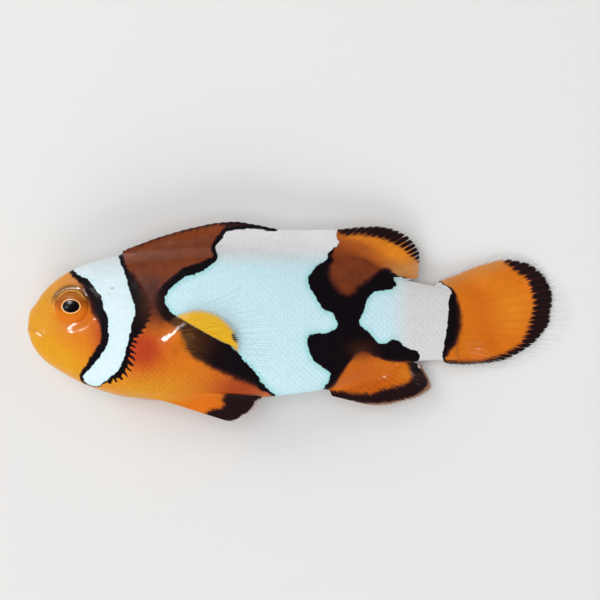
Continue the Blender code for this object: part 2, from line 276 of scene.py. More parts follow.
TAIL_PATCH = closed_curve((
    (54, 6.3), (53.5, 5.9), (53.8, 5.2), (53.1, 4.5), (50.8, 4.1), (49.6, 3.2), (49.1, 1.6), (48.4, 0),
    (48.6, -0.9), (49.9, -2), (50.9, -3.2), (51.9, -3.5), (53.6, -2.8), (55, -3.8), (56.7, -4.6),
    (57.3, -5.2), (57.3, -7.2), (60.6, -7), (60.8, -4.6), (61.4, -0.8), (61.6, 2.2), (62, 4), (61.5, 4.8),
    (60.2, 5.5), (58, 5.9), (56, 6),
))
WHITE_PATCHES = (HEAD_BAND, FLANK_PATCH, TAIL_PATCH)

# Places on the edge of the white, each with the width of the black border there and how softly it fades.
BLACK_BORDER = (
    (7.5, 6.8, 0.4, 0.5), (9, 5.8, 0.42, 1.2), (10, 4.8, 0.45, 2.6), (11.2, 3, 0.45, 3.2),
    (11.7, 1.4, 0.55, 2.4), (12.1, 0.5, 0.65, 1.2), (12.3, -1.4, 0.8, 0.5), (12, -3.5, 0.8, 0.5),
    (10.7, -5.7, 0.75, 0.6), (9, -7.5, 0.6, 0.25), (8.4, -8.5, 0.35, 0.2), (9.5, -9.6, 0.05, 0.1),
    (13.4, 9.9, 0.45, 0.5), (14.3, 7.2, 0.3, 0.5), (14.8, 5.8, 0.6, 1.2), (15.2, 4.3, 0.9, 1.8),
    (15.7, 2.6, 1.15, 1.9), (16, 1.3, 1.3, 1.7), (15.8, 0, 1.5, 1.3), (15.5, -1.2, 1.4, 0.6),
    (15.2, -2.2, 0.55, 0.2), (15, -3.4, 0.4, 0.2), (14.6, -4.5, 0.55, 0.2), (13.7, -7.1, 0.75, 0.2),
    (12.2, -8.3, 0.45, 0.2), (11.2, -9.3, 0.05, 0.1), (20.3, 2.9, 0.9, 1), (21.1, 1.6, 1, 0.9),
    (22.4, 0.3, 0.8, 0.8), (21, 4.4, 0.8, 0.8), (22.2, 5.5, 0.8, 0.6), (24.6, 6.5, 1.1, 0.7),
    (26.7, 8.1, 0.9, 0.6), (27.4, 9.4, 0.45, 0.4), (27.5, 10.5, 0.4, 0.4), (28.6, 12.2, 0.45, 0.5),
    (25.4, -1.4, 1, 0.6), (28.5, -3.1, 1, 0.6), (30.7, -4.6, 1, 0.6), (32.8, -7, 1, 0.6),
    (34.2, -8.9, 0.7, 0.4), (36, -11, 0.3, 0.25), (43.2, -10, 0.5, 0.3), (44.1, -8.2, 0.8, 0.4),
    (43, -6.7, 1.2, 0.6), (41, -4, 1.5, 0.8), (42.2, -2, 1.5, 0.8), (45.1, -0.3, 1.5, 0.8),
    (44, 1.3, 1.5, 0.8), (42.6, 2.3, 1.5, 0.8), (41, 5, 1.4, 1.4), (41.5, 7, 1.2, 1.6),
    (43.6, 8.9, 0.5, 1.2), (44, 9.9, 0.2, 0.5), (44.8, 10.8, 0.02, 0.15), (45.2, 11.8, 0, 0.05),
    (53.4, 6.3, 0.45, 0.8), (54.3, 7, 0, 0.05), (56, 7, 0, 0.05), (57.8, 6.8, 0, 0.05),
    (53, 4.5, 0.75, 1.1), (50.5, 4, 0.8, 1.3), (49.2, 1.7, 1.5, 0.8), (48.5, -0.2, 1.5, 0.8),
    (50, -2, 1.2, 0.8), (52, -3.4, 1.2, 0.5), (54.5, -3.3, 1.2, 0.4), (56, -4.4, 1, 0.35),
    (57.2, -5.6, 0.8, 0.25), (62, 5.4, 0, 0.05), (61.8, 4.4, 0.1, 0.4), (61.8, 3.2, 0.45, 1.4),
    (61.6, 1.5, 0.75, 2.4), (61.4, -0.8, 0.85, 2.4), (61.2, -3, 0.8, 2.3), (60.9, -4.6, 0.15, 1.5),
    (60.8, -6, 0, 0.6),
)
# Black beyond the borders: the saddle between the two rear patches, and the sash under the breast fin.
BLACK_SADDLE = closed_curve((
    (43.6, 9.3), (43.9, 8.1), (43.9, 6.5), (44.5, 5.1), (45.4, 4.1), (46.5, 3.5), (47.5, 3.9), (48.3, 4.8),
    (49.3, 5.5), (50.4, 6.2), (51.4, 7.2), (52.5, 7.5), (53.1, 7), (53.8, 5.2), (51.3, 4), (50.2, 2.8),
    (50.7, -0.7), (54.2, -2.2), (57.3, -4.3), (57.3, -5.9), (54.2, -6.1), (52.5, -5.9), (51.3, -5.5),
    (49.9, -5.3), (48.4, -5.3), (47.2, -5.8), (46.4, -6.7), (45.8, -7.7), (45.2, -8.6), (44.5, -9.6),
    (43.5, -10.3), (42.8, -9.6), (43.3, -7.8), (41.4, -6.1), (40.3, -3.6), (41.2, -1.5), (44.1, -1.2),
    (43.8, 0.6), (41.7, 2.2), (40.6, 4.4), (40.1, 5.9), (41.9, 8.2), (42.9, 9.6),
))
BLACK_SASH = closed_curve((
    (20.1, 2.9), (20.2, 1.8), (20.8, 0.6), (21.7, -0.4), (22.6, -1.4), (23.2, -2.8), (23.8, -4.3),
    (24.8, -5.3), (26.1, -6), (27.5, -6.8), (29, -7.5), (30.4, -8.2), (31.8, -8.8), (33.3, -9.4),
    (34.7, -10.1), (35.7, -10.5), (36.7, -10.7), (36.3, -9.4), (34.3, -7.4), (32.5, -5.7), (30.5, -3.5),
    (28.3, -2.1), (25.4, -0.2), (23.2, 1.2), (21.4, 2.9),
))
BROWN_BACK = closed_curve((
    (12, 13), (30, 16), (31, 9), (25, 4), (22, 0.5), (19.6, -0.6), (17, 0.6), (14, 4),
))
BROWN_RUMP = closed_curve((
    (38, 10), (43, 12.6), (46, 11.7), (48.5, 10.3), (51, 9.2), (53.5, 7.9), (55.5, 6.6), (55, 3.5),
    (49, 2.5), (45, -3.5), (39, -3),
))
COMB_CENTRE = (9.0, -0.6)  # the teeth of the gill cover's edge point away from here
RUST_LINE = (46.3, 11.6, -0.478, 1.35)  # a place on the soft back fin's rust band, its slope and width

# Soft spots of each marking: strength, place of the centre and the two radii.
BROWN_SPOTS = ((0.9, 48.7, -4.7, 2.6, 1.2), (0.4, 31.8, -9.4, 3.4, 1.6))
SPOTS = {
    "dusk": ((1.3, 17.9, 3.4, 2.7, 2.6),),
    "umber": ((1, 24, -2.4, 3.2, 2.8), (0.7, 48.8, -4.3, 2, 1.2), (0.8, 18.2, 2.6, 1.6, 3)),
    "red": (
        (1.2, 17.2, -4.2, 3.2, 3.1), (0.7, 11, -1.6, 1.3, 3.4), (0.9, 31, -10, 5, 2.6),
        (0.4, 48, -8.2, 5, 2.6),
    ),
    "yellow": ((0.85, 15.5, -10.8, 10, 3.2), (0.5, 6.5, -6, 4.5, 3)),
    "comb": ((1.3, 14.3, -5.6, 2.8, 3.4), (0.5, 17.6, 0.4, 1.2, 2.6)),
    "gold": (
        (1, 54, 10, 2.6, 1.6), (0.9, 71.3, 1.6, 3.4, 4), (0.6, 66.5, 6.2, 3.4, 1.8), (0.5, 63.4, -5, 2.6, 1),
        (0.6, 55.2, -7.6, 1.6, 1.6), (0.5, 47.6, 12.4, 2, 0.7),
    ),
    "rust": (
        (0.4, 50, 8.2, 2.4, 1.5), (0.8, 61.8, 4.4, 1.7, 1.3), (0.5, 61.8, -4.8, 1.3, 1.1),
        (0.9, 63.3, -0.5, 1.4, 5),
    ),
    "speck": ((1, 12.7, 4.6, 0.14, 0.14), (0.6, 12.3, 3.7, 0.13, 0.13)),
}


def markings(x, y):
    """Every marking's value at points of the side view, in millimetres or as a share from 0 to 1.

    white is the signed distance to the white patches; black and fade are the width and the softness
    of their black border, averaged from the nearby places of the table by inverse distance.
    """
    around_eye = np.hypot(x - EYE_MIDDLE[0], y - EYE_MIDDLE[1])
    total, black, fade = np.zeros((3, *np.shape(x)))
    for px, py, width, softness in BLACK_BORDER:
        weight = ((x - px) ** 2 + (y - py) ** 2 + 0.05) ** -2.2
        total += weight
        black += weight * width
        fade += weight * softness
    soft = 1 - 0.55 * blob(x, y, (46.5, 5.5), (4.0, 3.0))
    saddle = signed_distance(BLACK_SADDLE, x, y) * soft - 0.8 * blob(x, y, (48.8, -4.5), (1.9, 1.0))
    sash = 0.6 * signed_distance(BLACK_SASH, x, y) - 0.2 * blob(x, y, (24.4, -2.6), (2.3, 2.4))
    back = ramp(signed_distance(BROWN_BACK, x, y), -2.2, 1.2)
    rump = ramp(signed_distance(BROWN_RUMP, x, y), -1.3, 0.9)
    line_x, line_y, slope, width = RUST_LINE
    rust_band = bell(y - line_y, slope * (x - line_x), width)

    sums = {label: spots(x, y, rows) for label, rows in SPOTS.items()}
    sums["brown"] = np.max([back, rump, *(spots(x, y, [row]) for row in BROWN_SPOTS)], axis=0)
    sums["yellow"] += 1 - ramp(x, 2.0, 11.0)
    sums["rust"] += rust_band * ramp(x, 42.0, 44.0) * (1 - ramp(x, 52.0, 55.0))
    sums["lilac"] = (
        ramp(x, 51.5, 57.0) + ramp(y, 6.8, 11.2) * ramp(x, 20.0, 25.0)
        + 0.55 * ramp(y, 5.5, 9.0) * (1 - ramp(x, 16.0, 18.0))
    )
    values = {label: np.clip(amount, 0, 1) for label, amount in sums.items()}
    values["yellow"] *= 1 - 0.9 * blob(x, y, (7.5, 0.5), (3.6, 3.6))
    return values | {
        "white": np.max([signed_distance(patch, x, y) for patch in WHITE_PATCHES], axis=0),
        "black": black / total,
        "fade": fade / total,
        "dark": np.maximum(saddle, sash),
        "comb_turn": np.arctan2(y - COMB_CENTRE[1], x - COMB_CENTRE[0]),
        "snow": 1 - ramp(x, 16.0, 22.0),
        # Painted shade: an olive crescent on the upper wall of the eye's sunken socket.
        "lid_shade": ramp(around_eye, 2.25, 2.5) * (1 - ramp(around_eye, 2.9, 3.5)) * ramp(y, 1.9, 3.6),
        # Painted highlight: a pale arc on the raised ridge above the eye.
        "brow_highlight": bell(around_eye, 3.75, 0.28) * ramp(y, 2.4, 4.4) * ramp(x, 4.4, 7.0),
    }


# ---------------------------------------------------------------- the skin's relief

GILL_COVER = closed_curve((
    (-3, 14), (12.6, 14), (13.7, 10.2), (14.8, 8.4), (16.7, 5.1), (18.1, 2.5), (18.4, 0), (17.8, -1.9),
    (16.4, -2.9), (15.6, -4), (15.1, -6), (13.7, -8), (11.5, -10), (8, -14), (-3, -14),
))
CHEEK_PLATE = ((9.7, 4.2), (10.0, 1.6), (10.0, -1.2), (9.2, -4.0), (7.0, -6.2), (4.4, -6.9))
MOUTH = ((-0.5, -1.15), (0.4, -1.2), (1.4, -1.55), (2.3, -2.3))
NOSTRIL = (3.6, 3.2)
FIN_LOBE = (21.2, -2.6)  # the fleshy root of the breast fin
FIN_FOLD = ((19.9, -3.1), (23.5, -0.2))  # the flat bank along its upper edge, which faces up and ahead
BANK_SLOPE = 0.50


def relief(x, y):
    """How far the skin stands out of the plain body, in millimetres.

    It adds the sunken ring and raised rim round the eye, lips with a cleft between them, a nostril, the
    edges of the cheek plate and gill cover, and the lobe that carries the breast fin.
    """
    ahead, up = x - EYE_MIDDLE[0], y - EYE_MIDDLE[1]
    around_eye = np.hypot(ahead, up)
    height = -(0.19 + 0.20 * ahead - 0.10 * up) * (1 - ramp(around_eye, 2.35, 3.7))
    height -= 0.40 * (1 - ramp(around_eye, 1.8, 2.5))
    height += 0.06 * bell(around_eye, 2.62, 0.16) * ramp(up, -0.6, 1.6)
    height += 0.06 * bell(around_eye, 3.6, 0.3) * ramp(up, 0.0, 2.0)

    lips = path_distance(MOUTH, x, y)
    height += 0.10 * bell(lips, 0.4, 0.28) - 0.20 * bell(lips, 0, 0.16)
    nostril = np.hypot(x - NOSTRIL[0], y - NOSTRIL[1])
    height += 0.07 * bell(nostril, 0.26, 0.1) - 0.18 * bell(nostril, 0, 0.13)

    height -= 0.03 * bell(path_distance(CHEEK_PLATE, x, y), 0, 0.35)
    gill = signed_distance(GILL_COVER, x, y)
    open_edge = ramp(y, -10.0, -7.5) * (1 - ramp(y, 6.5, 9.5))
    height += 0.09 * (ramp(gill, -0.35, 0.35) - 0.5) * np.exp(-np.abs(gill) / 1.2) * open_edge

    (ax, ay), (bx, by) = FIN_FOLD
    length = np.hypot(bx - ax, by - ay)
    ahead, up = (bx - ax) / length, (by - ay) / length
    along = (x - ax) * ahead + (y - ay) * up
    across = (x - ax) * up - (y - ay) * ahead
    wide = 0.72 - 0.07 * np.clip(along, 0, length)
    ends = ramp(along, -1.0, 0.2) * (1 - ramp(along, length - 0.2, length + 0.8))
    bank = np.clip(across + wide, 0, 2 * wide) * (1 - ramp(across, wide, wide + 2.6))
    lobe = np.hypot((x - FIN_LOBE[0]) / 2.0, (y - FIN_LOBE[1]) / 3.2)
    beside = 1 - ends * (1 - ramp(across, 0.8 * wide, wide + 1.2))
    height += BANK_SLOPE * bank * ends + 0.30 * beside * np.clip(1 - lobe**2, 0, 1) ** 1.5
    ripple = np.sin(1.9 * x + 0.7 * y) * np.sin(1.3 * y - 0.5 * x) + np.sin(3.1 * x - 2.3 * y) * 0.5
    return height + 0.012 * ripple * ramp(x, 3.0, 8.0)


def skin_point(x, turn, lift=0.0):
    """A point of the skin, lift millimetres above it, kept off the floor and out of the right breast fin."""
    plain = body_point(x, turn)
    height = relief(plain[..., 0], plain[..., 1]) - SKIN_DEPTH + lift
    point = plain + body_normal(x, turn) * height[..., None]
    over_fin = ramp(signed_distance(RIGHT_FIN_OUTLINE, point[..., 0], point[..., 1]), -0.5, 0.3)
    room = (FIN_FLOOR + 0.12 + 0.2 * ramp(point[..., 0], 30, 24)) * over_fin
    under = np.sin(turn) < 0
    point[..., 2] = np.where(under, np.maximum(point[..., 2], room), point[..., 2])
    return point


# ---------------------------------------------------------------- fins

SPINY_DORSAL = {
    "base": ((13.4, 8), (19.5, 8.8), (27, 9.2), (33.8, 8.9)),
    "edge": ((13.9, 10.2), (21.6, 12.85), (29.4, 14.35), (36.3, 13.35)),
    "rays": 10, "sheath": 0.3, "bars": 20, "fork": 2, "columns": 150,
    "pigment": ((8, 4), (8, 18), (40, 18), (40, 4)),
    "inner": (
        (8, 4), (8, 8.5), (13.8, 10.3), (17.6, 11.65), (21.6, 12.9), (25.4, 13.8), (28.2, 14.2),
        (29.4, 13.4), (30.6, 12), (31, 4),
    ),
}
SOFT_DORSAL = {
    "base": ((33.4, 8.9), (39.5, 8.2), (44, 7.3), (48.2, 6.2), (51.8, 5.2)),
    "edge": ((36.1, 13.25), (44.6, 13.3), (52.6, 14), (57.9, 11.1), (57.2, 6.1)),
    "rays": 16, "sheath": 0.25, "bars": 27, "fork": 0.35, "columns": 200, "loose": (53.6, 55.6),
    "pale": (((53.6, 6.7), (55.6, 7), (57.3, 7.8)), 1.5),
    "pigment": (
        (31, 7), (35.2, 12.95), (45, 13.2), (50, 13.6), (53, 13.3), (55.2, 12.4), (56.4, 11.2), (57.2, 9.8),
        (57.2, 8.5), (57.1, 7), (56.6, 5.6), (54, 4), (44, 4),
    ),
    "inner": (
        (33, 6), (34, 15), (45, 14), (45.8, 12.9), (48.2, 12.9), (50.2, 12.65), (52.2, 12.2), (54.4, 11.2),
        (55.8, 10.2), (56.8, 9.3), (58.5, 8.2), (58, 4), (44, 4),
    ),
}
ANAL = {
    "base": ((43.4, -8.9), (46.8, -7.7), (50.2, -6.4), (53.8, -5.2)),
    "edge": ((44.4, -11.2), (51.6, -12.75), (59, -10.6), (57.9, -6.9)),
    "rays": 18, "sheath": 0.25, "bars": 36, "fork": 0.35, "columns": 170,
    "pigment": (
        (42.6, -10.4), (46.3, -11.6), (50, -12.2), (53, -12), (56.2, -11.35), (58, -10.2), (58.5, -9.2),
        (57.9, -7.9), (57.1, -6.7), (56, -4), (43, -4),
    ),
    "inner": (
        (42.4, -9.7), (46.3, -10.9), (50, -11.2), (51.6, -10.7), (53.7, -10.2), (55.2, -9.8), (56.1, -9.2),
        (56.5, -8.3), (56.2, -7.4), (55.8, -6.4), (55, -3), (43, -3),
    ),
}
CAUDAL = {
    "base": ((59, 4), (60.4, 2.6), (60.6, -0.8), (60.4, -4.2), (59.4, -5.2)),
    "edge": ((60.3, 5.95), (72.5, 10.3), (80.9, 1.2), (73.9, -6.85), (61.5, -6.6)),
    "rays": 24, "sheath": 0.25, "bars": 44, "fork": 0.3, "columns": 290,
    "pale": (((59.5, 5.2), (62.5, 6.9), (66, 8.2), (69, 8.9)), 1.5),
    "pigment": (
        (58, 4), (60.3, 5.6), (62.4, 6.4), (64.9, 7.4), (67.9, 8.4), (70.2, 8.8), (72.2, 8.6), (74.3, 7.8),
        (76, 6.2), (77, 4.2), (77.1, 2.6), (76.8, 1), (76.6, -0.6), (75.4, -2.3), (73.6, -4), (71, -5.5),
        (68.7, -6.2), (64.9, -6.55), (61.4, -6.4), (58, -5),
    ),
    "inner": (
        (57, 6), (62, 9), (68.5, 10.8), (70.6, 8.5), (72, 7.4), (73.5, 6.4), (74.2, 5.2), (74.6, 3.7),
        (74.8, 2.4), (74.6, 1), (74.2, -0.6), (73.5, -2.3), (72.5, -3.9), (70.8, -5), (69.2, -5.6),
        (67.2, -6.25), (64.9, -6.45), (61.4, -6.25), (57, -5),
    ),
}
PECTORAL = {
    "base": ((21.3, 0.2), (21, -1.5), (21.1, -3.1), (21.7, -4.7)),
    "edge": ((32.2, 5.5), (36.6, 1.1), (37.4, -4.4), (35, -9.5)),
    "rays": 17, "sheath": 0.1, "bars": 34, "fork": 0.3, "columns": 230,
    "pigment": (
        (19.5, 0.2), (21.8, 0.6), (23.5, 1), (25.4, 1.3), (27.6, 0.7), (29.3, -0.6), (30.4, -2.1),
        (30.8, -3.4), (30.4, -5.2), (28.6, -6.8), (25, -7.6), (20, -6.5),
    ),
    "inner": ((18, 3), (26, 4), (30.6, -1.2), (30.1, -2), (30.4, -2.9), (32, -3.6), (31, -8), (18, -8)),
}
PELVIC = {
    "base": ((17.2, -10.8), (18.5, -10.3), (19.8, -10)),
    "edge": ((30.2, -15), (33.1, -13.3), (34.6, -11.1)),
    "rays": 6, "sheath": 0.05, "bars": 12, "fork": 0.4, "columns": 90,
    "pigment": (
        (12, -6), (34, -9.6), (34.3, -10.9), (33.6, -11.5), (33, -11.9), (32.8, -12.5), (32.2, -13.2),
        (31.4, -13.7), (30.5, -14.3), (29.5, -14.6), (28.2, -14.5), (27, -14.4), (25, -15), (12, -15),
    ),
    "inner": (
        (12, -8), (29.6, -9.6), (29.2, -10.7), (28.7, -11.5), (28.9, -12.4), (28.4, -13), (27.5, -13.15),
        (26.9, -13.2), (26.4, -13.7), (26, -15.5), (12, -15.5),
    ),
}
RIGHT_FIN_OUTLINE = closed_curve(PECTORAL["base"] + tuple(reversed(PECTORAL["edge"])))
FIN_FLOOR = 0.22  # lowest height of the middle of a sheet that lies on the floor
FIN_UNDERSIDE = 0.02  # lowest height of a fin's underside
FIN_ROWS, TAIL_ROWS = 46, 64  # points from the root of a fin to its edge
NOWHERE = (90.0, 91.0)  # past the tail


def fin_rays(u, v, rays, fork):
    """Ridges along the rays: each ray is a bell-shaped rib that forks in two and spreads past the fork."""
    off = np.abs((u * rays) % 1 - 0.5) - 0.25 * ramp(v, fork, 1.1)
    return bell(off, 0, 0.16 - 0.05 * v)


def fin_sheet(fin, surface, rows):
    """Middle points of a fin, its half thickness, and its ray coordinates.

    The rays run straight from the base curve to the edge curve. The edge is scalloped between ray tips,
    and the sheet thins out towards it, from a fleshy sheath at its root that falls off like a bell
    curve. surface(x, y, v) gives the height.
    """
    u = np.linspace(0, 1, fin["columns"])[None, :]
    v = np.linspace(0, 1, rows)[:, None]
    base = curve_through(fin["base"], u[0])
    edge = curve_through(fin["edge"], u[0])
    ribs = fin_rays(u, v, fin["rays"], fin["fork"])
    tips = fin_rays(u, np.ones_like(u), fin["rays"], fin["fork"])
    reach = v * (0.985 + 0.015 * tips) + 0.004 * np.sin(37 * u) * v**2
    x = base[:, 0] + (edge - base)[:, 0] * reach
    y = base[:, 1] + (edge - base)[:, 1] * reach
    z = surface(x, y, v * np.ones_like(u))
    web = 0.11 - 0.06 * v
    half = web + 0.035 * (1 - 0.4 * v) * ribs + fin["sheath"] * bell(v, 0, 0.26)
    half = half * (1 - 0.6 * ramp(v, 0.93, 1.0)) * np.ones_like(x)
    return np.stack([x, y, z], axis=-1), half, u * np.ones_like(x), v * np.ones_like(x)


def median_surface(x, y, v):
    """A fin in the middle plane, with a slight ripple that grows to its edge."""
    return mid_plane(x) + 0.10 * v * np.sin(0.9 * x + 0.5 * y)


def tail_surface(x, y, v):
    """The tail fin: the middle plane, lying down on the floor towards its end."""
    return np.maximum(median_surface(x, y, v), FIN_FLOOR)


def pectoral_surface(side):
    """A breast fin laid back along its flank, further off towards its edge, and never under the floor.

    Its root lies just under the skin. From there its distance grows with the square root of the way out.
    """

    def surface(x, y, v):
        way_out = np.clip((v - 0.04) / 0.96, 0, 1)
        standoff = -0.10 + 1.66 * np.sqrt(way_out) + 0.06 * np.sin(2.1 * y + 0.4 * x) * v
        return np.maximum(mid_plane(x) + side * (flank_width(x, y) + standoff), FIN_FLOOR)

    return surface


def pelvic_surface(side):
    """A belly fin: it rises out of the flank at its root, lies along it, and runs on past the belly's edge.

    Its distance from the middle plane is a smooth maximum of the flank's and a steady one.
    """

    def surface(x, y, v):
        sunk = 0.35 * ramp(y, -11.3, -10.4) * (1 - ramp(x, 26.5, 29.0))
        on_flank = flank_width(x, y) - 0.35 + 0.47 * ramp(v, 0.0, 0.4) - sunk
        free = 2.2 - 0.2 * v
        reach = 0.5 * (on_flank + free + np.hypot(on_flank - free, 0.6))
        return mid_plane(x) + side * reach

    return surface


# ---------------------------------------------------------------- meshes


def grid_quads(rows, columns, wrap=False):
    """Corner numbers of the quads of a grid of points; wrap joins its last column to its first."""
    i = np.arange(rows - 1)[:, None]
    j = np.arange(columns if wrap else columns - 1)[None, :]
    k = (j + 1) % columns
    corners = (i * columns + j, i * columns + k, (i + 1) * columns + k, (i + 1) * columns + j)
    return np.stack(corners, axis=-1).reshape(-1, 4)


def place_object(name, data):
    """An object at the origin with the given mesh, lamp or camera, in the scene."""
    obj = bpy.data.objects.new(name, data)
    bpy.context.scene.collection.objects.link(obj)
    return obj


def make_piece(name, points, faces, replaced, material, values, uv):
    """Puts points, faces, point values and face-corner coordinates into a piece of the fish."""
    mesh = bpy.data.meshes.new(name)
    mesh.from_pydata(to_world(points).tolist(), [], [list(map(int, face)) for face in faces])
    mesh.polygons.foreach_set("use_smooth", np.ones(len(mesh.polygons), bool))
    for label, column in values.items():
        attribute = mesh.attributes.new(label, "FLOAT", "POINT")
        attribute.data.foreach_set("value", np.asarray(column, np.float32).ravel())
    for label, corners in uv.items():
        layer = mesh.uv_layers.new(name=label)
        layer.uv.foreach_set("vector", np.asarray(corners, np.float32).ravel())
    mesh.update()
    mesh.materials.append(material)
    obj = place_object(name, mesh)
    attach(obj, "root")
    if replaced:
        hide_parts(*replaced)


def closed_rings(rings, around):
    """Quads of a stack of rings, and the triangles that join its first and last ring to a point each.

    The two points come after the rings' own.
    """
    j = np.arange(around)
    k = (j + 1) % around
    last = (rings - 1) * around
    first_fan = np.stack([np.full(around, rings * around), k, j], axis=1)
    last_fan = np.stack([np.full(around, rings * around + 1), last + j, last + k], axis=1)
    return [*grid_quads(rings, around, wrap=True), *first_fan, *last_fan]


def make_skin(material):
    """The whole body as one closed skin: rings from the snout to the tail fin, with a point at each end.

    The columns crowd together at the back and the belly, where the flesh rises steeply into the fins.
    """
    rings, around = 425, 216
    snout_crowding = 1.35
    share = np.arange(1, rings + 1)[:, None] / rings
    x = (BODY_END + TAIL_TONGUE) * share**snout_crowding * np.ones((1, around))
    turns = 2 * np.pi * np.arange(around + 1) / around
    from_edge = (turns + np.pi / 2) % np.pi - np.pi / 2
    turns = turns - 0.75 * from_edge * bell(from_edge, 0, 0.15)
    points = skin_point(x, turns[None, :-1] * np.ones((rings, 1)))
    snout = points[0].mean(0) - (0.02, 0, 0)
    end = points[-1].mean(0)
    points = np.vstack([points.reshape(-1, 3), snout, end])

    ring_no, turn_no = np.divmod(np.arange((rings - 1) * around), around)
    ahead = share.ravel() ** snout_crowding
    corners = [(ring_no, turn_no), (ring_no, turn_no + 1), (ring_no + 1, turn_no + 1), (ring_no + 1, turn_no)]
    quad_uv = np.stack([np.stack([ahead[r], turns[t] / (2 * np.pi)], axis=1) for r, t in corners], axis=1)
    j = np.arange(around)
    fan = np.stack([j + 0.5, j + 1, j], axis=1) / around
    snout_uv = np.stack([np.array([0.0, ahead[0], ahead[0]]) * np.ones((around, 1)), fan], axis=2)
    fan = np.stack([j + 0.5, j, j + 1], axis=1) / around
    end_uv = np.stack([np.ones((around, 3)), fan], axis=2)
    uv = np.concatenate([part.reshape(-1, 2) for part in (quad_uv, snout_uv, end_uv)])
    make_piece(
        "skin", points, closed_rings(rings, around), ("head", "lower_jaw", "trunk", "tail"),
        material, markings(points[:, 0], points[:, 1]), {"OFBake": uv},
    )


def make_fin(name, fin, surface, replaced, material, rows):
    """A closed rayed sheet.

    Its middle points are moved up and down by its half thickness, and the two sides are joined round
    its rim.
    """
    middle, half, u, v = fin_sheet(fin, surface, rows)
    normal = unit(np.cross(np.gradient(middle, axis=1), np.gradient(middle, axis=0)))
    thick = normal * half[..., None]
    points = np.vstack([(middle + thick).reshape(-1, 3), (middle - thick).reshape(-1, 3)])
    points[:, 2] = np.maximum(points[:, 2], FIN_UNDERSIDE)

    columns, count = fin["columns"], half.size
    face_up = grid_quads(rows, columns)
    face_down = face_up[:, ::-1] + count
    j, i = np.arange(columns - 1), np.arange(rows - 1)
    loop = np.concatenate([
        j, i * columns + columns - 1, (rows - 1) * columns + j[::-1] + 1, (i[::-1] + 1) * columns,
    ])
    after = np.roll(loop, -1)
    rim = np.stack([after, loop, loop + count, after + count], axis=1)
    faces = np.concatenate([face_up, face_down, rim])

    x, y = middle[..., 0].ravel(), middle[..., 1].ravel()
    values = markings(x, y)
    for label in ("pigment", "inner"):
        values[label] = signed_distance(closed_curve(fin[label]), x, y)
    values["pale"] = np.zeros(len(x))
    if "pale" in fin:
        path, width = fin["pale"]
        values["pale"] = bell(path_distance(path, x, y), 0, width)
    values["loose"] = ramp(x, *fin.get("loose", NOWHERE))
    values = {label: np.tile(column, 2) for label, column in values.items()}
    corner_uv = np.tile(np.stack([u.ravel(), v.ravel()], axis=1), (2, 1))[faces.ravel()]
    make_piece(name, points, faces, (replaced,), material, values, {"rays": corner_uv})


def facing_axes(side):
    """Across, up and outward directions of an eye."""
    ahead, up, out = EYE_FACING
    outward = unit(np.array([ahead, up, out * side]))
    upward = unit(np.array([0.0, 1.0, 0.0]) - outward * outward[1])
    return np.cross(upward, outward), upward, outward


def make_eye(name, replaced, side, material):
    """A flattened ball: rings from the middle of the pupil to the back, with a low lens at the pupil."""
    rings, around = 63, 96
    slope = np.pi * np.linspace(0, 1, rings + 2)[1:-1, None]
    turn = 2 * np.pi * np.arange(around)[None, :] / around
    across, upward, outward = facing_axes(side)
    flat_x = EYE_RADII[0] * np.sin(slope) * np.cos(turn)
    flat_y = EYE_RADII[1] * np.sin(slope) * np.sin(turn)
    pupil = np.hypot((flat_x - PUPIL_OFF[0]) / PUPIL_RADII[0], (flat_y - PUPIL_OFF[1]) / PUPIL_RADII[1])
    front = slope < np.pi / 2
    bulge = np.where(front, 0.07 * ramp(pupil, 1.0, 0.2) + 0.03 * bell(pupil, 1.1, 0.09), 0)
    depth = EYE_RADII[2] * np.cos(slope) * np.ones_like(turn) + bulge
    centre = np.array([*EYE_MIDDLE, MID_HEIGHT + side * EYE_DEPTH])
    points = centre + sum(
        part[..., None] * axis for part, axis in ((flat_x, across), (flat_y, upward), (depth, outward))
    )
    poles = np.stack([centre + outward * (EYE_RADII[2] + 0.065), centre - outward * EYE_RADII[2]])
    points = np.vstack([points.reshape(-1, 3), poles])
    faces = [face[::-1] for face in closed_rings(rings, around)]
    far = 9.0  # well outside the pupil
    values = {
        "pupil": np.append(np.where(front, pupil, far).ravel(), [0.33, far]),
        "eye_up": np.append(flat_y.ravel(), [0.0, 0.0]),
        "eye_out": np.append(np.hypot(flat_x, flat_y).ravel(), [0.0, 0.0]),
    }
    make_piece(name, points, faces, (replaced,), material, values, {})


# ---------------------------------------------------------------- scales

COLUMN_PITCH = 0.46  # from one column of scales to the next, as a share of the pitch in a column
SCALE_LENGTH, SCALE_HALF_WIDTH = 1.12, 0.56  # as shares of a scale's size
BARE_MIDDLE, BARE_ROOT = 0.44, 0.75  # no scales grow this near the middle plane, or in a fin's root
BAKE_PATCH = 0.003  # side of each scale's part of the OFBake map


def scale_shape():
    """One scale: across, along and height of its points, and its faces.

    It is a closed lens on a rounded outline, sunk at its root and lifted at its free edge: a middle
    point, a ring just inside the rim and the rim itself on top, and one point underneath.
    """
    sides = 12
    turn = 2 * np.pi * np.arange(sides) / sides
    outline = np.stack([np.sin(turn), -np.cos(turn)], axis=1)
    top = np.vstack([[(0, 0)], outline * 0.93, outline, [(0, 0)]])
    along = 0.5 + 0.5 * top[:, 1]
    height = np.concatenate([[1.0], np.full(sides, 0.6), np.full(sides, 0.0), [-1.2]])
    inner = np.arange(sides) + 1
    after = np.roll(inner, -1)
    under = np.full(sides, 2 * sides + 1)
    faces = [
        *np.stack([np.zeros(sides, int), inner, after], axis=1),
        *np.stack([inner, inner + sides, after + sides, after], axis=1),
        *np.stack([under, after + sides, inner + sides], axis=1),
    ]
    return top[:, 0], along, height, faces


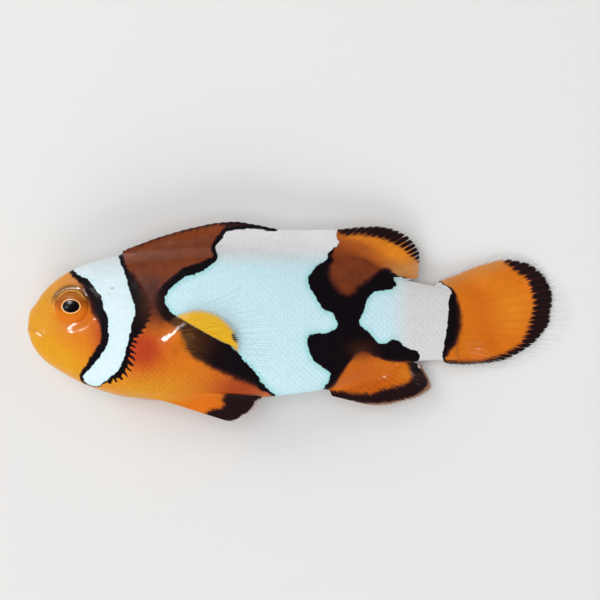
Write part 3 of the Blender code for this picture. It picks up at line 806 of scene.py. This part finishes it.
def arc_to_turn(x, side):
    """For each x, the arc length from the middle of the flank at a fine spread of turns."""
    steps, middle_step = 120, 58
    turns = np.linspace(0.02, np.pi - 0.02, steps)
    ring = body_point(x[:, None] * np.ones(steps), turns[None, :] * np.ones((len(x), 1)))
    lengths = np.cumsum(np.linalg.norm(np.diff(ring, axis=1), axis=-1), axis=1)
    lengths = np.hstack([np.zeros((len(x), 1)), lengths])
    return turns * side, lengths - lengths[:, middle_step : middle_step + 1]


def make_scales(name, side, start, stop, keep, pitch, size, lift, material, wobble_seed):
    """Scales on one flank, on a staggered lattice of even pitch, each laid tailwards over the next.

    Rows are spaced by arc length from the middle of the flank, so they end at the back and the belly.
    """
    rng = np.random.default_rng(wobble_seed)
    columns = np.arange(start, stop, pitch * COLUMN_PITCH)
    turns, lengths = arc_to_turn(columns, side)
    roots = []
    for number, (column, length) in enumerate(zip(columns, lengths)):
        first = np.ceil(length[0] / pitch) * pitch + (number % 2) * pitch / 2
        rows = np.arange(first, length[-1], pitch)
        per_arc = 1 / np.interp(rows, length, np.gradient(length, turns))
        roots.append(np.stack([np.full(len(rows), column), np.interp(rows, length, turns), per_arc]))
    root_x, root_turn, turn_per_arc = np.concatenate(roots, axis=1)
    root = body_point(root_x, root_turn)
    from_middle = np.abs(root[:, 2] - mid_plane(root_x))
    fleshy = np.where(root[:, 1] > 0, root_height(BACK_ROOT, root_x), root_height(BELLY_ROOT, root_x))
    kept = keep(root[:, 0], root[:, 1]) & (from_middle > BARE_MIDDLE + BARE_ROOT * np.minimum(fleshy, 1))
    root_x, root_turn, turn_per_arc = root_x[kept], root_turn[kept], turn_per_arc[kept]
    count = len(root_x)

    across, along, height, faces = scale_shape()
    scale_size = size * rng.uniform(0.94, 1.06, (count, 1))
    tilt = rng.normal(0, 0.06, (count, 1))
    ahead = scale_size * (along + across * tilt) * SCALE_LENGTH
    aside = scale_size * (across * SCALE_HALF_WIDTH - along * tilt)
    x = np.minimum(root_x[:, None] + ahead, BODY_END + 1.2)
    turn = root_turn[:, None] + aside * turn_per_arc[:, None]
    rise = lift * (along * 1.3 - 0.5 + 0.25 * height)
    points = skin_point(x, turn, rise * np.ones_like(x)).reshape(-1, 3)
    points[:, 2] = np.maximum(points[:, 2], 0.0)

    per_scale = len(across)
    offsets = np.arange(count)[:, None] * per_scale
    blocks = [offsets + (face if side > 0 else face[::-1]) for face in faces]
    triangles = np.vstack([block for block in blocks if block.shape[1] == 3])
    quads = np.vstack([block for block in blocks if block.shape[1] == 4])
    face_list = [*triangles, *quads]

    values = markings(points[:, 0], points[:, 1])
    values["scale_edge"] = np.tile(np.clip((along - 0.5) * 2, 0, 1) * (height < 0.5), count)
    values["scale_tone"] = np.repeat(rng.uniform(0, 1, count), per_scale)
    centre = np.stack([root_x / (BODY_END + TAIL_TONGUE), (root_turn / (2 * np.pi)) % 1], axis=1)
    patch = np.stack([along - 0.5, across * 0.5], axis=1) * BAKE_PATCH
    point_uv = (centre[:, None, :] + patch[None, :, :]).reshape(-1, 2)
    corner_uv = point_uv[np.concatenate(face_list)]
    make_piece(name, points, face_list, (), material, values, {"OFBake": corner_uv})


def on_trunk(x, y):
    """Where the trunk's scales grow: behind the gill cover, and not on the lobe of the breast fin."""
    lobe = np.hypot((x + 0.4 - FIN_LOBE[0]) / 2.6, (y - FIN_LOBE[1]) / 3.6)
    bank = path_distance(FIN_FOLD, x + 0.5, y)
    return (signed_distance(GILL_COVER, x, y) < -0.1) & (lobe > 1) & (bank > 1.3)


def on_gill_cover(x, y):
    """Where the small scales of the cheek and gill cover grow."""
    eye = np.hypot(x + 0.4 - EYE_MIDDLE[0], y - EYE_MIDDLE[1])
    return (signed_distance(GILL_COVER, x + 0.6, y) > 0.0) & (x > 8.4) & (eye > 3.6) & (np.abs(y) < 8.8)


# Patches of scales: where along the body they start and stop, where they grow, their pitch, size and
# lift, and the seed of their wobble, to which the side is added.
SCALES = {
    "scales": (11.0, 61.8, on_trunk, 0.95, 1.0, 0.015, 11),
    "cheek_scales": (8.0, 18.5, on_gill_cover, 0.6, 0.66, 0.010, 21),
}

# ---------------------------------------------------------------- materials

ORANGE = (0.69, 0.175, 0.009)
YELLOW = (0.72, 0.32, 0.013)
RED = (0.47, 0.052, 0.012)
BROWN = (0.225, 0.046, 0.010)
DEEP_BROWN = (0.16, 0.033, 0.009)
DUSK = (0.065, 0.016, 0.012)
MAROON = (0.060, 0.014, 0.010)
# Painted shade, in the eye's socket and along the top edge of the eyeball.
SHADE_OLIVE = (0.20, 0.082, 0.012)
# Painted highlight on the raised ridge above the eye.
BROW_HIGHLIGHT = (0.60, 0.25, 0.12)
BLACK = (0.006, 0.004, 0.006)
FIN_INK = (0.011, 0.004, 0.005)
UMBER = (0.050, 0.015, 0.006)
WHITE = (0.61, 0.845, 0.92)
SNOW = (0.715, 0.86, 0.905)
CYAN = (0.31, 0.70, 0.69)
SNOW_RIM = (0.63, 0.84, 0.87)
LILAC = (0.71, 0.695, 0.695)
SPECK = (0.30, 0.32, 0.34)
PALE_FIN = (0.66, 0.30, 0.085)
GOLD = (0.73, 0.225, 0.014)
RUST = (0.37, 0.082, 0.014)
CLEAR = (0.60, 0.59, 0.59)
BREAST_CLEAR = (0.50, 0.63, 0.68)
BREAST_GOLD = ((0.70, 0.33, 0.014), (0.83, 0.52, 0.02))
SASH_STREAK = ((0.020, 0.010, 0.006), (0.36, 0.14, 0.03))
BREAST_TIP = (0.03, 0.02, 0.01)
IRIS_TOP = (0.44, 0.14, 0.016)
IRIS_MIDDLE = (0.40, 0.085, 0.006)
IRIS_LOW = (0.62, 0.165, 0.005)
IRIS_FLECK = (0.24, 0.055, 0.008)
EYE_RIM = (0.78, 0.44, 0.10)
PUPIL_RING = (0.95, 0.52, 0.20)
PUPIL = (0.003, 0.002, 0.003)
FLOOR = (0.76, 0.755, 0.745)

# The rayed fins: shape, colours near the root and further out and of the fringe, how opaque the fringe is
# between its rays and on them, and the length of the black border's teeth and their offset in millimetres.
FIN_LOOKS = {
    "spiny_fin": (SPINY_DORSAL, BROWN, (0.23, 0.055, 0.012), CLEAR, (0.1, 0.5), (0.25, -0.08)),
    "soft_fin": (SOFT_DORSAL, (0.46, 0.12, 0.017), (0.64, 0.19, 0.013), CLEAR, (0, 0.05), (0.36, -0.10)),
    # The anal fin's nearly opaque brown fringe is partly its own clear margin and partly a painted shadow
    # band beyond its black border.
    "anal_fin": (
        ANAL, (0.52, 0.088, 0.004), (0.53, 0.112, 0.004), (0.30, 0.13, 0.06), (0.72, 0.80), (0.36, -0.16),
    ),
    "tail_fin": (CAUDAL, (0.52, 0.10, 0.006), (0.64, 0.145, 0.006), CLEAR, (0, 0.09), (0.5, -0.32)),
    "belly_fin": (
        PELVIC, (0.70, 0.18, 0.008), (0.70, 0.16, 0.006), (0.55, 0.36, 0.32), (0.2, 0.3), (0.22, -0.10),
    ),
}


class Value:
    """A socket's value in a net, which is added, taken away and multiplied like a number."""

    def __init__(self, net, socket):
        self.net = net
        self.socket = socket

    def __add__(self, other):
        return self.net.math("ADD", self, other)

    def __sub__(self, other):
        return self.net.math("SUBTRACT", self, other)

    def __rsub__(self, other):
        return self.net.math("SUBTRACT", other, self)

    def __mul__(self, other):
        return self.net.math("MULTIPLY", self, other)

    def __abs__(self):
        return self.net.math("ABSOLUTE", self)

    def part(self):
        """What is left over the whole number."""
        return self.net.math("FRACT", self)

    def smooth(self, low, high):
        """Smooth step from 0 at low to 1 at high."""
        inputs = {"Value": self, "From Min": low, "From Max": high}
        return self.net.value("ShaderNodeMapRange", inputs, interpolation_type="SMOOTHSTEP")


class Net:
    """Short names for adding nodes to one tree."""

    def __init__(self, tree):
        self.tree = tree

    def feed(self, node, inputs):
        """Sets a node's inputs to numbers and colours, or links values to them."""
        for label, value in inputs.items():
            socket = node.inputs[label]
            if isinstance(value, Value):
                self.tree.links.new(value.socket, socket)
            elif isinstance(value, tuple):
                socket.default_value = (*value, 1)
            else:
                socket.default_value = value

    def add(self, kind, inputs, **settings):
        """A new node, with its settings and inputs."""
        node = self.tree.nodes.new(kind)
        for label, setting in settings.items():
            setattr(node, label, setting)
        self.feed(node, inputs)
        return node

    def value(self, kind, inputs, output=0, **settings):
        """One output of a new node."""
        return Value(self, self.add(kind, inputs, **settings).outputs[output])

    def group(self, tree, inputs, *labels):
        """The named outputs of a node group."""
        node = self.add("ShaderNodeGroup", inputs, node_tree=tree)
        return [Value(self, node.outputs[label]) for label in labels]

    def math(self, operation, *values, clamp=False):
        """The result of a Math node."""
        return self.value("ShaderNodeMath", dict(enumerate(values)), operation=operation, use_clamp=clamp)

    def mix(self, share, first, second):
        """The first colour where the share is 0, and the second where it is 1."""
        return self.value("ShaderNodeMix", {0: share, 6: first, 7: second}, 2, data_type="RGBA")

    def mark(self, label):
        """A marking's value, from the points of the mesh."""
        return self.value("ShaderNodeAttribute", {}, "Fac", attribute_name=label)

    def scaled(self, color, factor):
        """A colour times a number."""
        return self.value("ShaderNodeVectorMath", {0: color, "Scale": factor}, operation="SCALE")

    def noise(self, size, detail=2.0, rough=0.5):
        """Noise whose lumps are about size millimetres across, from 0 to 1."""
        place = self.value("ShaderNodeTexCoord", {}, "Object")
        inputs = {"Vector": place, "Scale": 1 / (size * MM), "Detail": detail, "Roughness": rough}
        return self.value("ShaderNodeTexNoise", inputs, "Fac")

    def split(self, vector):
        """The X, Y and Z of a vector."""
        node = self.add("ShaderNodeSeparateXYZ", {0: vector})
        return [Value(self, node.outputs[axis]) for axis in "XYZ"]

    def ray_lines(self, rays, fin):
        """A fin's rays, border bars, way out from its root, and fibres."""
        inputs = {"Rays": float(fin["rays"]), "Fork": fin["fork"], "Bars": fin["bars"]}
        return self.group(rays, inputs, "Ray", "Bar", "Along", "Fibre")


def new_group(name, inputs, outputs):
    """An empty node group with the named sockets: its tree, net, and the values of its inputs."""
    tree = bpy.data.node_groups.new(name, "ShaderNodeTree")
    for label, default in inputs.items():
        is_color = isinstance(default, tuple)
        kind = "NodeSocketColor" if is_color else "NodeSocketFloat"
        socket = tree.interface.new_socket(label, in_out="INPUT", socket_type=kind)
        socket.default_value = (*default, 1) if is_color else default
    for label in outputs:
        kind = "NodeSocketColor" if label == "Color" else "NodeSocketFloat"
        tree.interface.new_socket(label, in_out="OUTPUT", socket_type=kind)
    net = Net(tree)
    entry = net.add("NodeGroupInput", {})
    return tree, net, [Value(net, entry.outputs[label]) for label in inputs]


def make_band_group():
    """The white patches with their black borders, laid over a ground colour."""
    tree, net, (ground,) = new_group("clown_bands", {"Ground": ORANGE}, ("Color", "White", "Black"))
    coarse = net.noise(0.8, 3.0, 0.65) - 0.5
    shift = (net.noise(0.3, 1.0) - 0.5) * 0.17 + coarse * 0.75
    inside = net.mark("white") + shift
    white = inside.smooth(-0.05, 0.05)

    phase = (net.mark("comb_turn") * 10.5 + shift).part()
    tooth = abs(phase - 0.5).smooth(0.30, 0.08) * net.mark("comb")
    width = tooth * 1.15 + net.mark("black")
    border = (inside * -1.0).smooth(width + net.mark("fade"), width)
    dark = (coarse * 0.5 + net.mark("dark")).smooth(-0.55, 0.45)
    black = net.math("MAXIMUM", border, dark)

    snow = net.mark("snow")
    rim = net.mix(snow, CYAN, SNOW_RIM)
    pale = net.mix(inside.smooth(-0.5, 1.1), rim, net.mix(snow, WHITE, SNOW))
    pale = net.mix(net.mark("lilac"), pale, LILAC)
    mottle = net.noise(0.7, 3.0, 0.6) * 0.16 + 0.92
    pale = net.mix(net.mark("speck"), net.scaled(pale, mottle), SPECK)
    color = net.mix(black.smooth(0.0, 0.62), ground, MAROON)
    ink = net.mix(net.mark("umber"), BLACK, UMBER)
    color = net.mix(black.smooth(0.38, 1.0), color, ink)
    net.add("NodeGroupOutput", {"Color": net.mix(white, color, pale), "White": white, "Black": black})
    return tree


def make_flesh_group():
    """Ground colour of the body: orange, yellow on snout and belly, red on the chest, brown on the back, with
    painted shade in the eye's socket and a painted highlight on the ridge over it.
    """
    tree, net, _ = new_group("flesh_tones", {}, ("Color",))
    color = net.mix(net.mark("yellow"), ORANGE, YELLOW)
    color = net.mix(net.mark("red"), color, RED)
    brown = net.mix(net.noise(2.2, 3.0, 0.55).smooth(0.35, 0.7), BROWN, DEEP_BROWN)
    color = net.mix(net.mark("brown"), color, brown)
    # The olive mark over the eye is painted shade in its socket, and the pale arc above it is a painted
    # highlight on the ridge there.
    for label, share, tone in (("dusk", 0.85, DUSK), ("lid_shade", 0.9, SHADE_OLIVE), ("brow_highlight", 0.7, BROW_HIGHLIGHT)):
        color = net.mix(net.mark(label) * share, color, tone)
    light = net.noise(0.5, 3.0, 0.65) * 0.30 + 0.85
    light = light + net.mark("scale_edge") * -0.05
    light = light + (net.mark("scale_tone") - 0.5) * 0.05
    net.add("NodeGroupOutput", {"Color": net.scaled(color, light)})
    return tree


def make_ray_group():
    """Fine lines along a fin's rays, which fork twice, and broader bars for its border, from its rays map."""
    tree, net, (rays, fork, bars) = new_group(
        "fin_rays", {"Rays": 16.0, "Fork": 0.3, "Bars": 30.0}, ("Ray", "Bar", "Along", "Fibre")
    )
    u, v, _ = net.split(net.value("ShaderNodeUVMap", {}, uv_map="rays"))
    across = abs((u * rays).part() - 0.5)
    branch = abs(across - v.smooth(fork, 1.1) * 0.25)
    twig = abs(branch - v.smooth(fork + 0.3, 1.15) * 0.125)
    bar = abs((u * bars).part() - 0.5).smooth(0.50, 0.34)
    stretched = net.value("ShaderNodeCombineXYZ", {"X": u * rays * 9.0, "Y": v * 4.0})
    fibre = net.value("ShaderNodeTexNoise", {"Vector": stretched, "Scale": 1.0, "Detail": 3.0}, "Fac")
    net.add("NodeGroupOutput", {"Ray": twig.smooth(0.085, 0.015), "Bar": bar, "Along": v, "Fibre": fibre})
    return tree


def new_material(name):
    """A material with an empty tree but for its Principled shader and output."""
    material = bpy.data.materials.new(name)
    material.use_nodes = True
    tree = material.node_tree
    return material, Net(tree), tree.nodes["Principled BSDF"]


def wet_finish(net, shader, height, depth, strength=0.35, coat=0.6, coat_roughness=0.03, gloss=0.15):
    """A wet gloss: a clear coat over skin with the given relief, which is depth millimetres deep."""
    bump = net.value("ShaderNodeBump", {"Height": height, "Distance": depth * MM, "Strength": strength})
    net.feed(shader, {
        "IOR": 1.38, "Specular IOR Level": gloss, "Normal": bump,
        "Coat Weight": coat, "Coat Roughness": coat_roughness, "Coat IOR": 1.36, "Coat Normal": bump,
    })


def skin_material(bands, flesh):
    """Wet skin and scales, which share one finish so that the markings run over both.

    The coat is thinner and the skin less glossy where it is white or black.
    """
    material, net, shader = new_material("wet_skin")
    (ground,) = net.group(flesh, {}, "Color")
    color, white, black = net.group(bands, {"Ground": ground}, "Color", "White", "Black")
    net.feed(shader, {"Base Color": color, "Roughness": net.noise(1.4, 3.0) * 0.25 + 0.32})
    height = net.noise(0.28, 2.0, 0.6) + net.noise(1.6, 2.0) * 1.6
    matt = net.math("MAXIMUM", white, black * (1.15 - net.mark("umber")), clamp=True)
    wet_finish(net, shader, height, 0.03, coat=matt * -0.57 + 0.6, gloss=matt * -0.11 + 0.15)
    return material


def rayed_fin_material(name, groups, fin, inner, outer, clear, sheer, teeth):
    """A rayed fin: flesh at its root, then two colours, a black border and a clear fringe.

    The values from fin on are a row of FIN_LOOKS.
    """
    bands, flesh, rays = groups
    material, net, shader = new_material(name)
    ray, bar, along, fibre = net.ray_lines(rays, fin)
    streak = (fibre * 0.40 + (ray * -0.07 + 0.85)) * (net.noise(1.5, 2.0) * 0.20 + 0.87)
    ground = net.mix(along.smooth(0.12, 0.62), inner, outer)
    for label, tone in (("brown", BROWN), ("rust", RUST), ("gold", GOLD)):
        ground = net.mix(net.mark(label), ground, tone)
    (root,) = net.group(flesh, {}, "Color")
    ground = net.mix(along.smooth(0.16, 0.50), root, net.scaled(ground, streak))
    pale = net.mark("pale")
    ground = net.mix(pale * 0.75, ground, PALE_FIN)
    comb = bar * teeth[0] + teeth[1]
    comb = (net.noise(0.6, 1.0) - 0.5) * 0.5 + comb
    comb = (fibre - 0.5) * 1.1 + comb
    comb = (1.0 - bar) * net.mark("loose") * -1.6 + comb
    border = comb - net.mark("inner")
    ground = net.mix(border.smooth(-0.55, 0.05), ground, MAROON)
    ground = net.mix(border.smooth(-0.10, 0.20) * (bar * 0.35 + 0.65), ground, FIN_INK)
    full = (comb * 0.5 + net.mark("pigment")).smooth(-0.10, 0.12)
    (color,) = net.group(bands, {"Ground": ground}, "Color")
    clarity = (ray * (sheer[1] - sheer[0]) + sheer[0]) * along.smooth(1.0, 0.93)
    alpha = net.math("MAXIMUM", pale * -0.22 + full, clarity, clamp=True)
    net.feed(shader, {"Base Color": net.mix(full, clear, color), "Alpha": alpha, "Roughness": 0.42})
    wet_finish(net, shader, ray * 0.5 + fibre, 0.02)
    return material


def breast_fin_material(rays):
    """The breast fin: a yellow fan with a clear rayed margin, hardly seen where dark skin lies under it."""
    material, net, shader = new_material("breast_fin")
    ray, bar, along, fibre = net.ray_lines(rays, PECTORAL)
    comb = bar * 0.5 - 0.25
    full = (comb * 0.8 + net.mark("pigment")).smooth(-0.35, 0.45)
    light = net.mark("white").smooth(-0.05, 0.20)
    streak = fibre.smooth(0.42, 0.66) * along.smooth(0.48, 0.04)
    ground = net.mix(light, net.mix(streak, *SASH_STREAK), net.mix(fibre.smooth(0.3, 0.7), *BREAST_GOLD))
    ground = net.mix((comb - net.mark("inner")).smooth(-0.05, 0.25), ground, BREAST_TIP)
    dim = streak * 0.75 * net.mark("dark").smooth(-0.7, 0.0)
    opaque = light * (0.93 - dim) + dim
    sheer = ray * 0.13 * (along.smooth(1.0, 0.6) * light)
    alpha = net.math("MULTIPLY_ADD", full, opaque - sheer, sheer, clamp=True)
    net.feed(shader, {"Base Color": net.mix(full, BREAST_CLEAR, ground), "Alpha": alpha, "Roughness": 0.4})
    wet_finish(net, shader, ray * 0.5 + fibre, 0.02, coat=0.4)
    return material


def eye_material():
    """A black pupil in a thin gold ring, in an iris that runs from brown above to orange below, with a band
    of painted shade along the eyeball's top edge.
    """
    material, net, shader = new_material("fish_eye")
    pupil, up, out = [net.mark(label) for label in ("pupil", "eye_up", "eye_out")]
    iris = net.mix(up.smooth(-1.5, -0.4), IRIS_LOW, IRIS_MIDDLE)
    iris = net.mix(up.smooth(0.4, 1.3), iris, IRIS_TOP)
    fleck = net.noise(0.35, 3.0, 0.7).smooth(0.40, 0.75) * up.smooth(-1.4, 0.2)
    iris = net.mix(fleck * 0.7, iris, IRIS_FLECK)
    over = up.smooth(0.6, 1.5)
    iris = net.mix(out.smooth(2.08, 2.17) * over, iris, EYE_RIM)
    # Painted shade along the eyeball's top edge, where it meets the socket.
    iris = net.mix(out.smooth(2.24, 2.33) * over, iris, SHADE_OLIVE)
    iris = net.mix(out.smooth(1.3, 2.2) * up.smooth(0.5, -0.9), iris, ORANGE)
    color = net.mix(abs(pupil - 1.07).smooth(0.10, 0.05), iris, PUPIL_RING)
    color = net.mix(pupil.smooth(1.02, 0.97), color, PUPIL)
    net.feed(shader, {"Base Color": color, "Roughness": 0.3})
    wet_finish(net, shader, net.noise(0.5, 2.0), 0.01, strength=0.15, coat=0.09, coat_roughness=0.02)
    return material


# ---------------------------------------------------------------- stage

# Lamps: place in metres, two sides, power, and whether they show as highlights and no more.
LAMPS = {
    "ceiling": ((-0.25, 0.0, 1.40), (1.2, 1.2), 10.9, False),
    "window_left": ((-1.15, 0.70, 0.80), (0.9, 0.9), 8.0, False),
    "window_right": ((1.15, 0.55, 0.80), (0.9, 0.9), 1.7, False),
    "window_front": ((-0.30, -1.25, 0.85), (1.0, 0.8), 9.2, False),
    "spark_front": ((0.16, -0.20, 0.43), (0.016, 0.016), 0.14, True),
    "spark_bank": ((-0.2834, 0.3698, 0.3786), (0.17, 0.085), 3.3, True),
    "spark_cheek": ((-0.404, 0.077, 0.382), (0.06, 0.02), 0.75, True),
}
LAMP_LEVEL = (0.03, 0.0, 1.0)  # the lamps' first sides lie across this, so nearly level
CAMERA_DISTANCE = 0.300
VIEW_WIDTH = 0.0876
VIEW_MIDDLE = (39.7, 2.9, MID_HEIGHT)


def make_floor():
    """A wide pale floor, just under the fish."""
    half, height = 1.5, -2e-5
    mesh = bpy.data.meshes.new("floor")
    corners = [(x, y, height) for x, y in ((-half, -half), (half, -half), (half, half), (-half, half))]
    mesh.from_pydata(corners, [], [(0, 1, 2, 3)])
    material, net, shader = new_material("pale_floor")
    net.feed(shader, {"Base Color": FLOOR, "Roughness": 0.6})
    mesh.materials.append(material)
    place_object("floor", mesh)


def make_light(name, place, size, power, gloss):
    """A rectangular lamp, aimed at the fish. With gloss it shows as a highlight and no more."""
    lamp = bpy.data.lights.new(name, "AREA")
    lamp.shape = "RECTANGLE"
    lamp.size, lamp.size_y = size
    lamp.energy = power
    obj = place_object(name, lamp)
    obj.visible_glossy = gloss
    obj.visible_diffuse = not gloss
    outward = unit(np.array(place))
    across = unit(np.cross(LAMP_LEVEL, outward))
    matrix = np.eye(4)
    matrix[:3] = np.stack([across, np.cross(outward, across), outward, place], axis=1)
    obj.matrix_world = Matrix(matrix.tolist())


def light_stage():
    """Soft light from the sides and a dim ceiling, with a few small bright lamps for wet sparkle."""
    world = bpy.data.worlds.new("soft_room")
    bpy.context.scene.world = world
    world.use_nodes = True
    net = Net(world.node_tree)
    _, _, rise = net.split(net.value("ShaderNodeTexCoord", {}, "Generated"))
    strength = rise.smooth(0.30, 0.92) * -0.40 + 0.50
    mirrored = net.value("ShaderNodeLightPath", {}, "Is Glossy Ray")
    background = world.node_tree.nodes["Background"]
    net.feed(background, {"Color": (1.0, 0.995, 0.99), "Strength": strength * (mirrored * -0.7 + 1.0)})
    for name, lamp in LAMPS.items():
        make_light(name, *lamp)


def make_camera():
    """Looks straight down on the left flank, from over the fish's middle plane."""
    camera = bpy.data.cameras.new("camera")
    camera.sensor_width = 36.0
    camera.lens = camera.sensor_width * CAMERA_DISTANCE / VIEW_WIDTH
    obj = place_object("camera", camera)
    obj.location = to_world(VIEW_MIDDLE) + (0, 0, CAMERA_DISTANCE)
    bpy.context.scene.camera = obj


def main():
    """Makes the materials, then the pieces, then the stage."""
    sides = ((1, "left"), (-1, "right"))
    bands, flesh, rays = groups = (make_band_group(), make_flesh_group(), make_ray_group())
    skin = skin_material(bands, flesh)
    make_skin(skin)
    for side, word in sides:
        for name, (*sizes, seed) in SCALES.items():
            make_scales(f"{name}_{word}", side, *sizes, skin, seed + side)

    looks = {name: rayed_fin_material(name, groups, *look) for name, look in FIN_LOOKS.items()}
    looks["breast_fin"] = breast_fin_material(rays)
    for name, fin, replaced, slot, look, rows in (
        ("spiny_dorsal", SPINY_DORSAL, "dorsal_fin_spiny", "fin_brown", "spiny_fin", FIN_ROWS),
        ("soft_dorsal", SOFT_DORSAL, "dorsal_fin_soft", "fin_orange", "soft_fin", FIN_ROWS),
        ("anal", ANAL, "anal_fin", "fin_orange", "anal_fin", FIN_ROWS),
        ("tail_fan", CAUDAL, "caudal_fin", "fin_orange", "tail_fin", TAIL_ROWS),
    ):
        surface = tail_surface if fin is CAUDAL else median_surface
        make_fin(name, fin, surface, replaced, looks[look], rows)
    for side, word in sides:
        for name, fin, surface, replaced, slot in (
            ("breast_fin", PECTORAL, pectoral_surface, "pectoral_fin", "fin_yellow"),
            ("belly_fin", PELVIC, pelvic_surface, "pelvic_fin", "fin_orange"),
        ):
            make_fin(f"{name}_{word}", fin, surface(side), f"{replaced}_{word}", looks[name], FIN_ROWS)
    eye = eye_material()
    for side, word in sides:
        make_eye(f"eyeball_{word}", f"eye_{word}", side, eye)

    make_floor()
    light_stage()
    make_camera()
    bpy.context.scene.view_settings.view_transform = "Standard"


main()
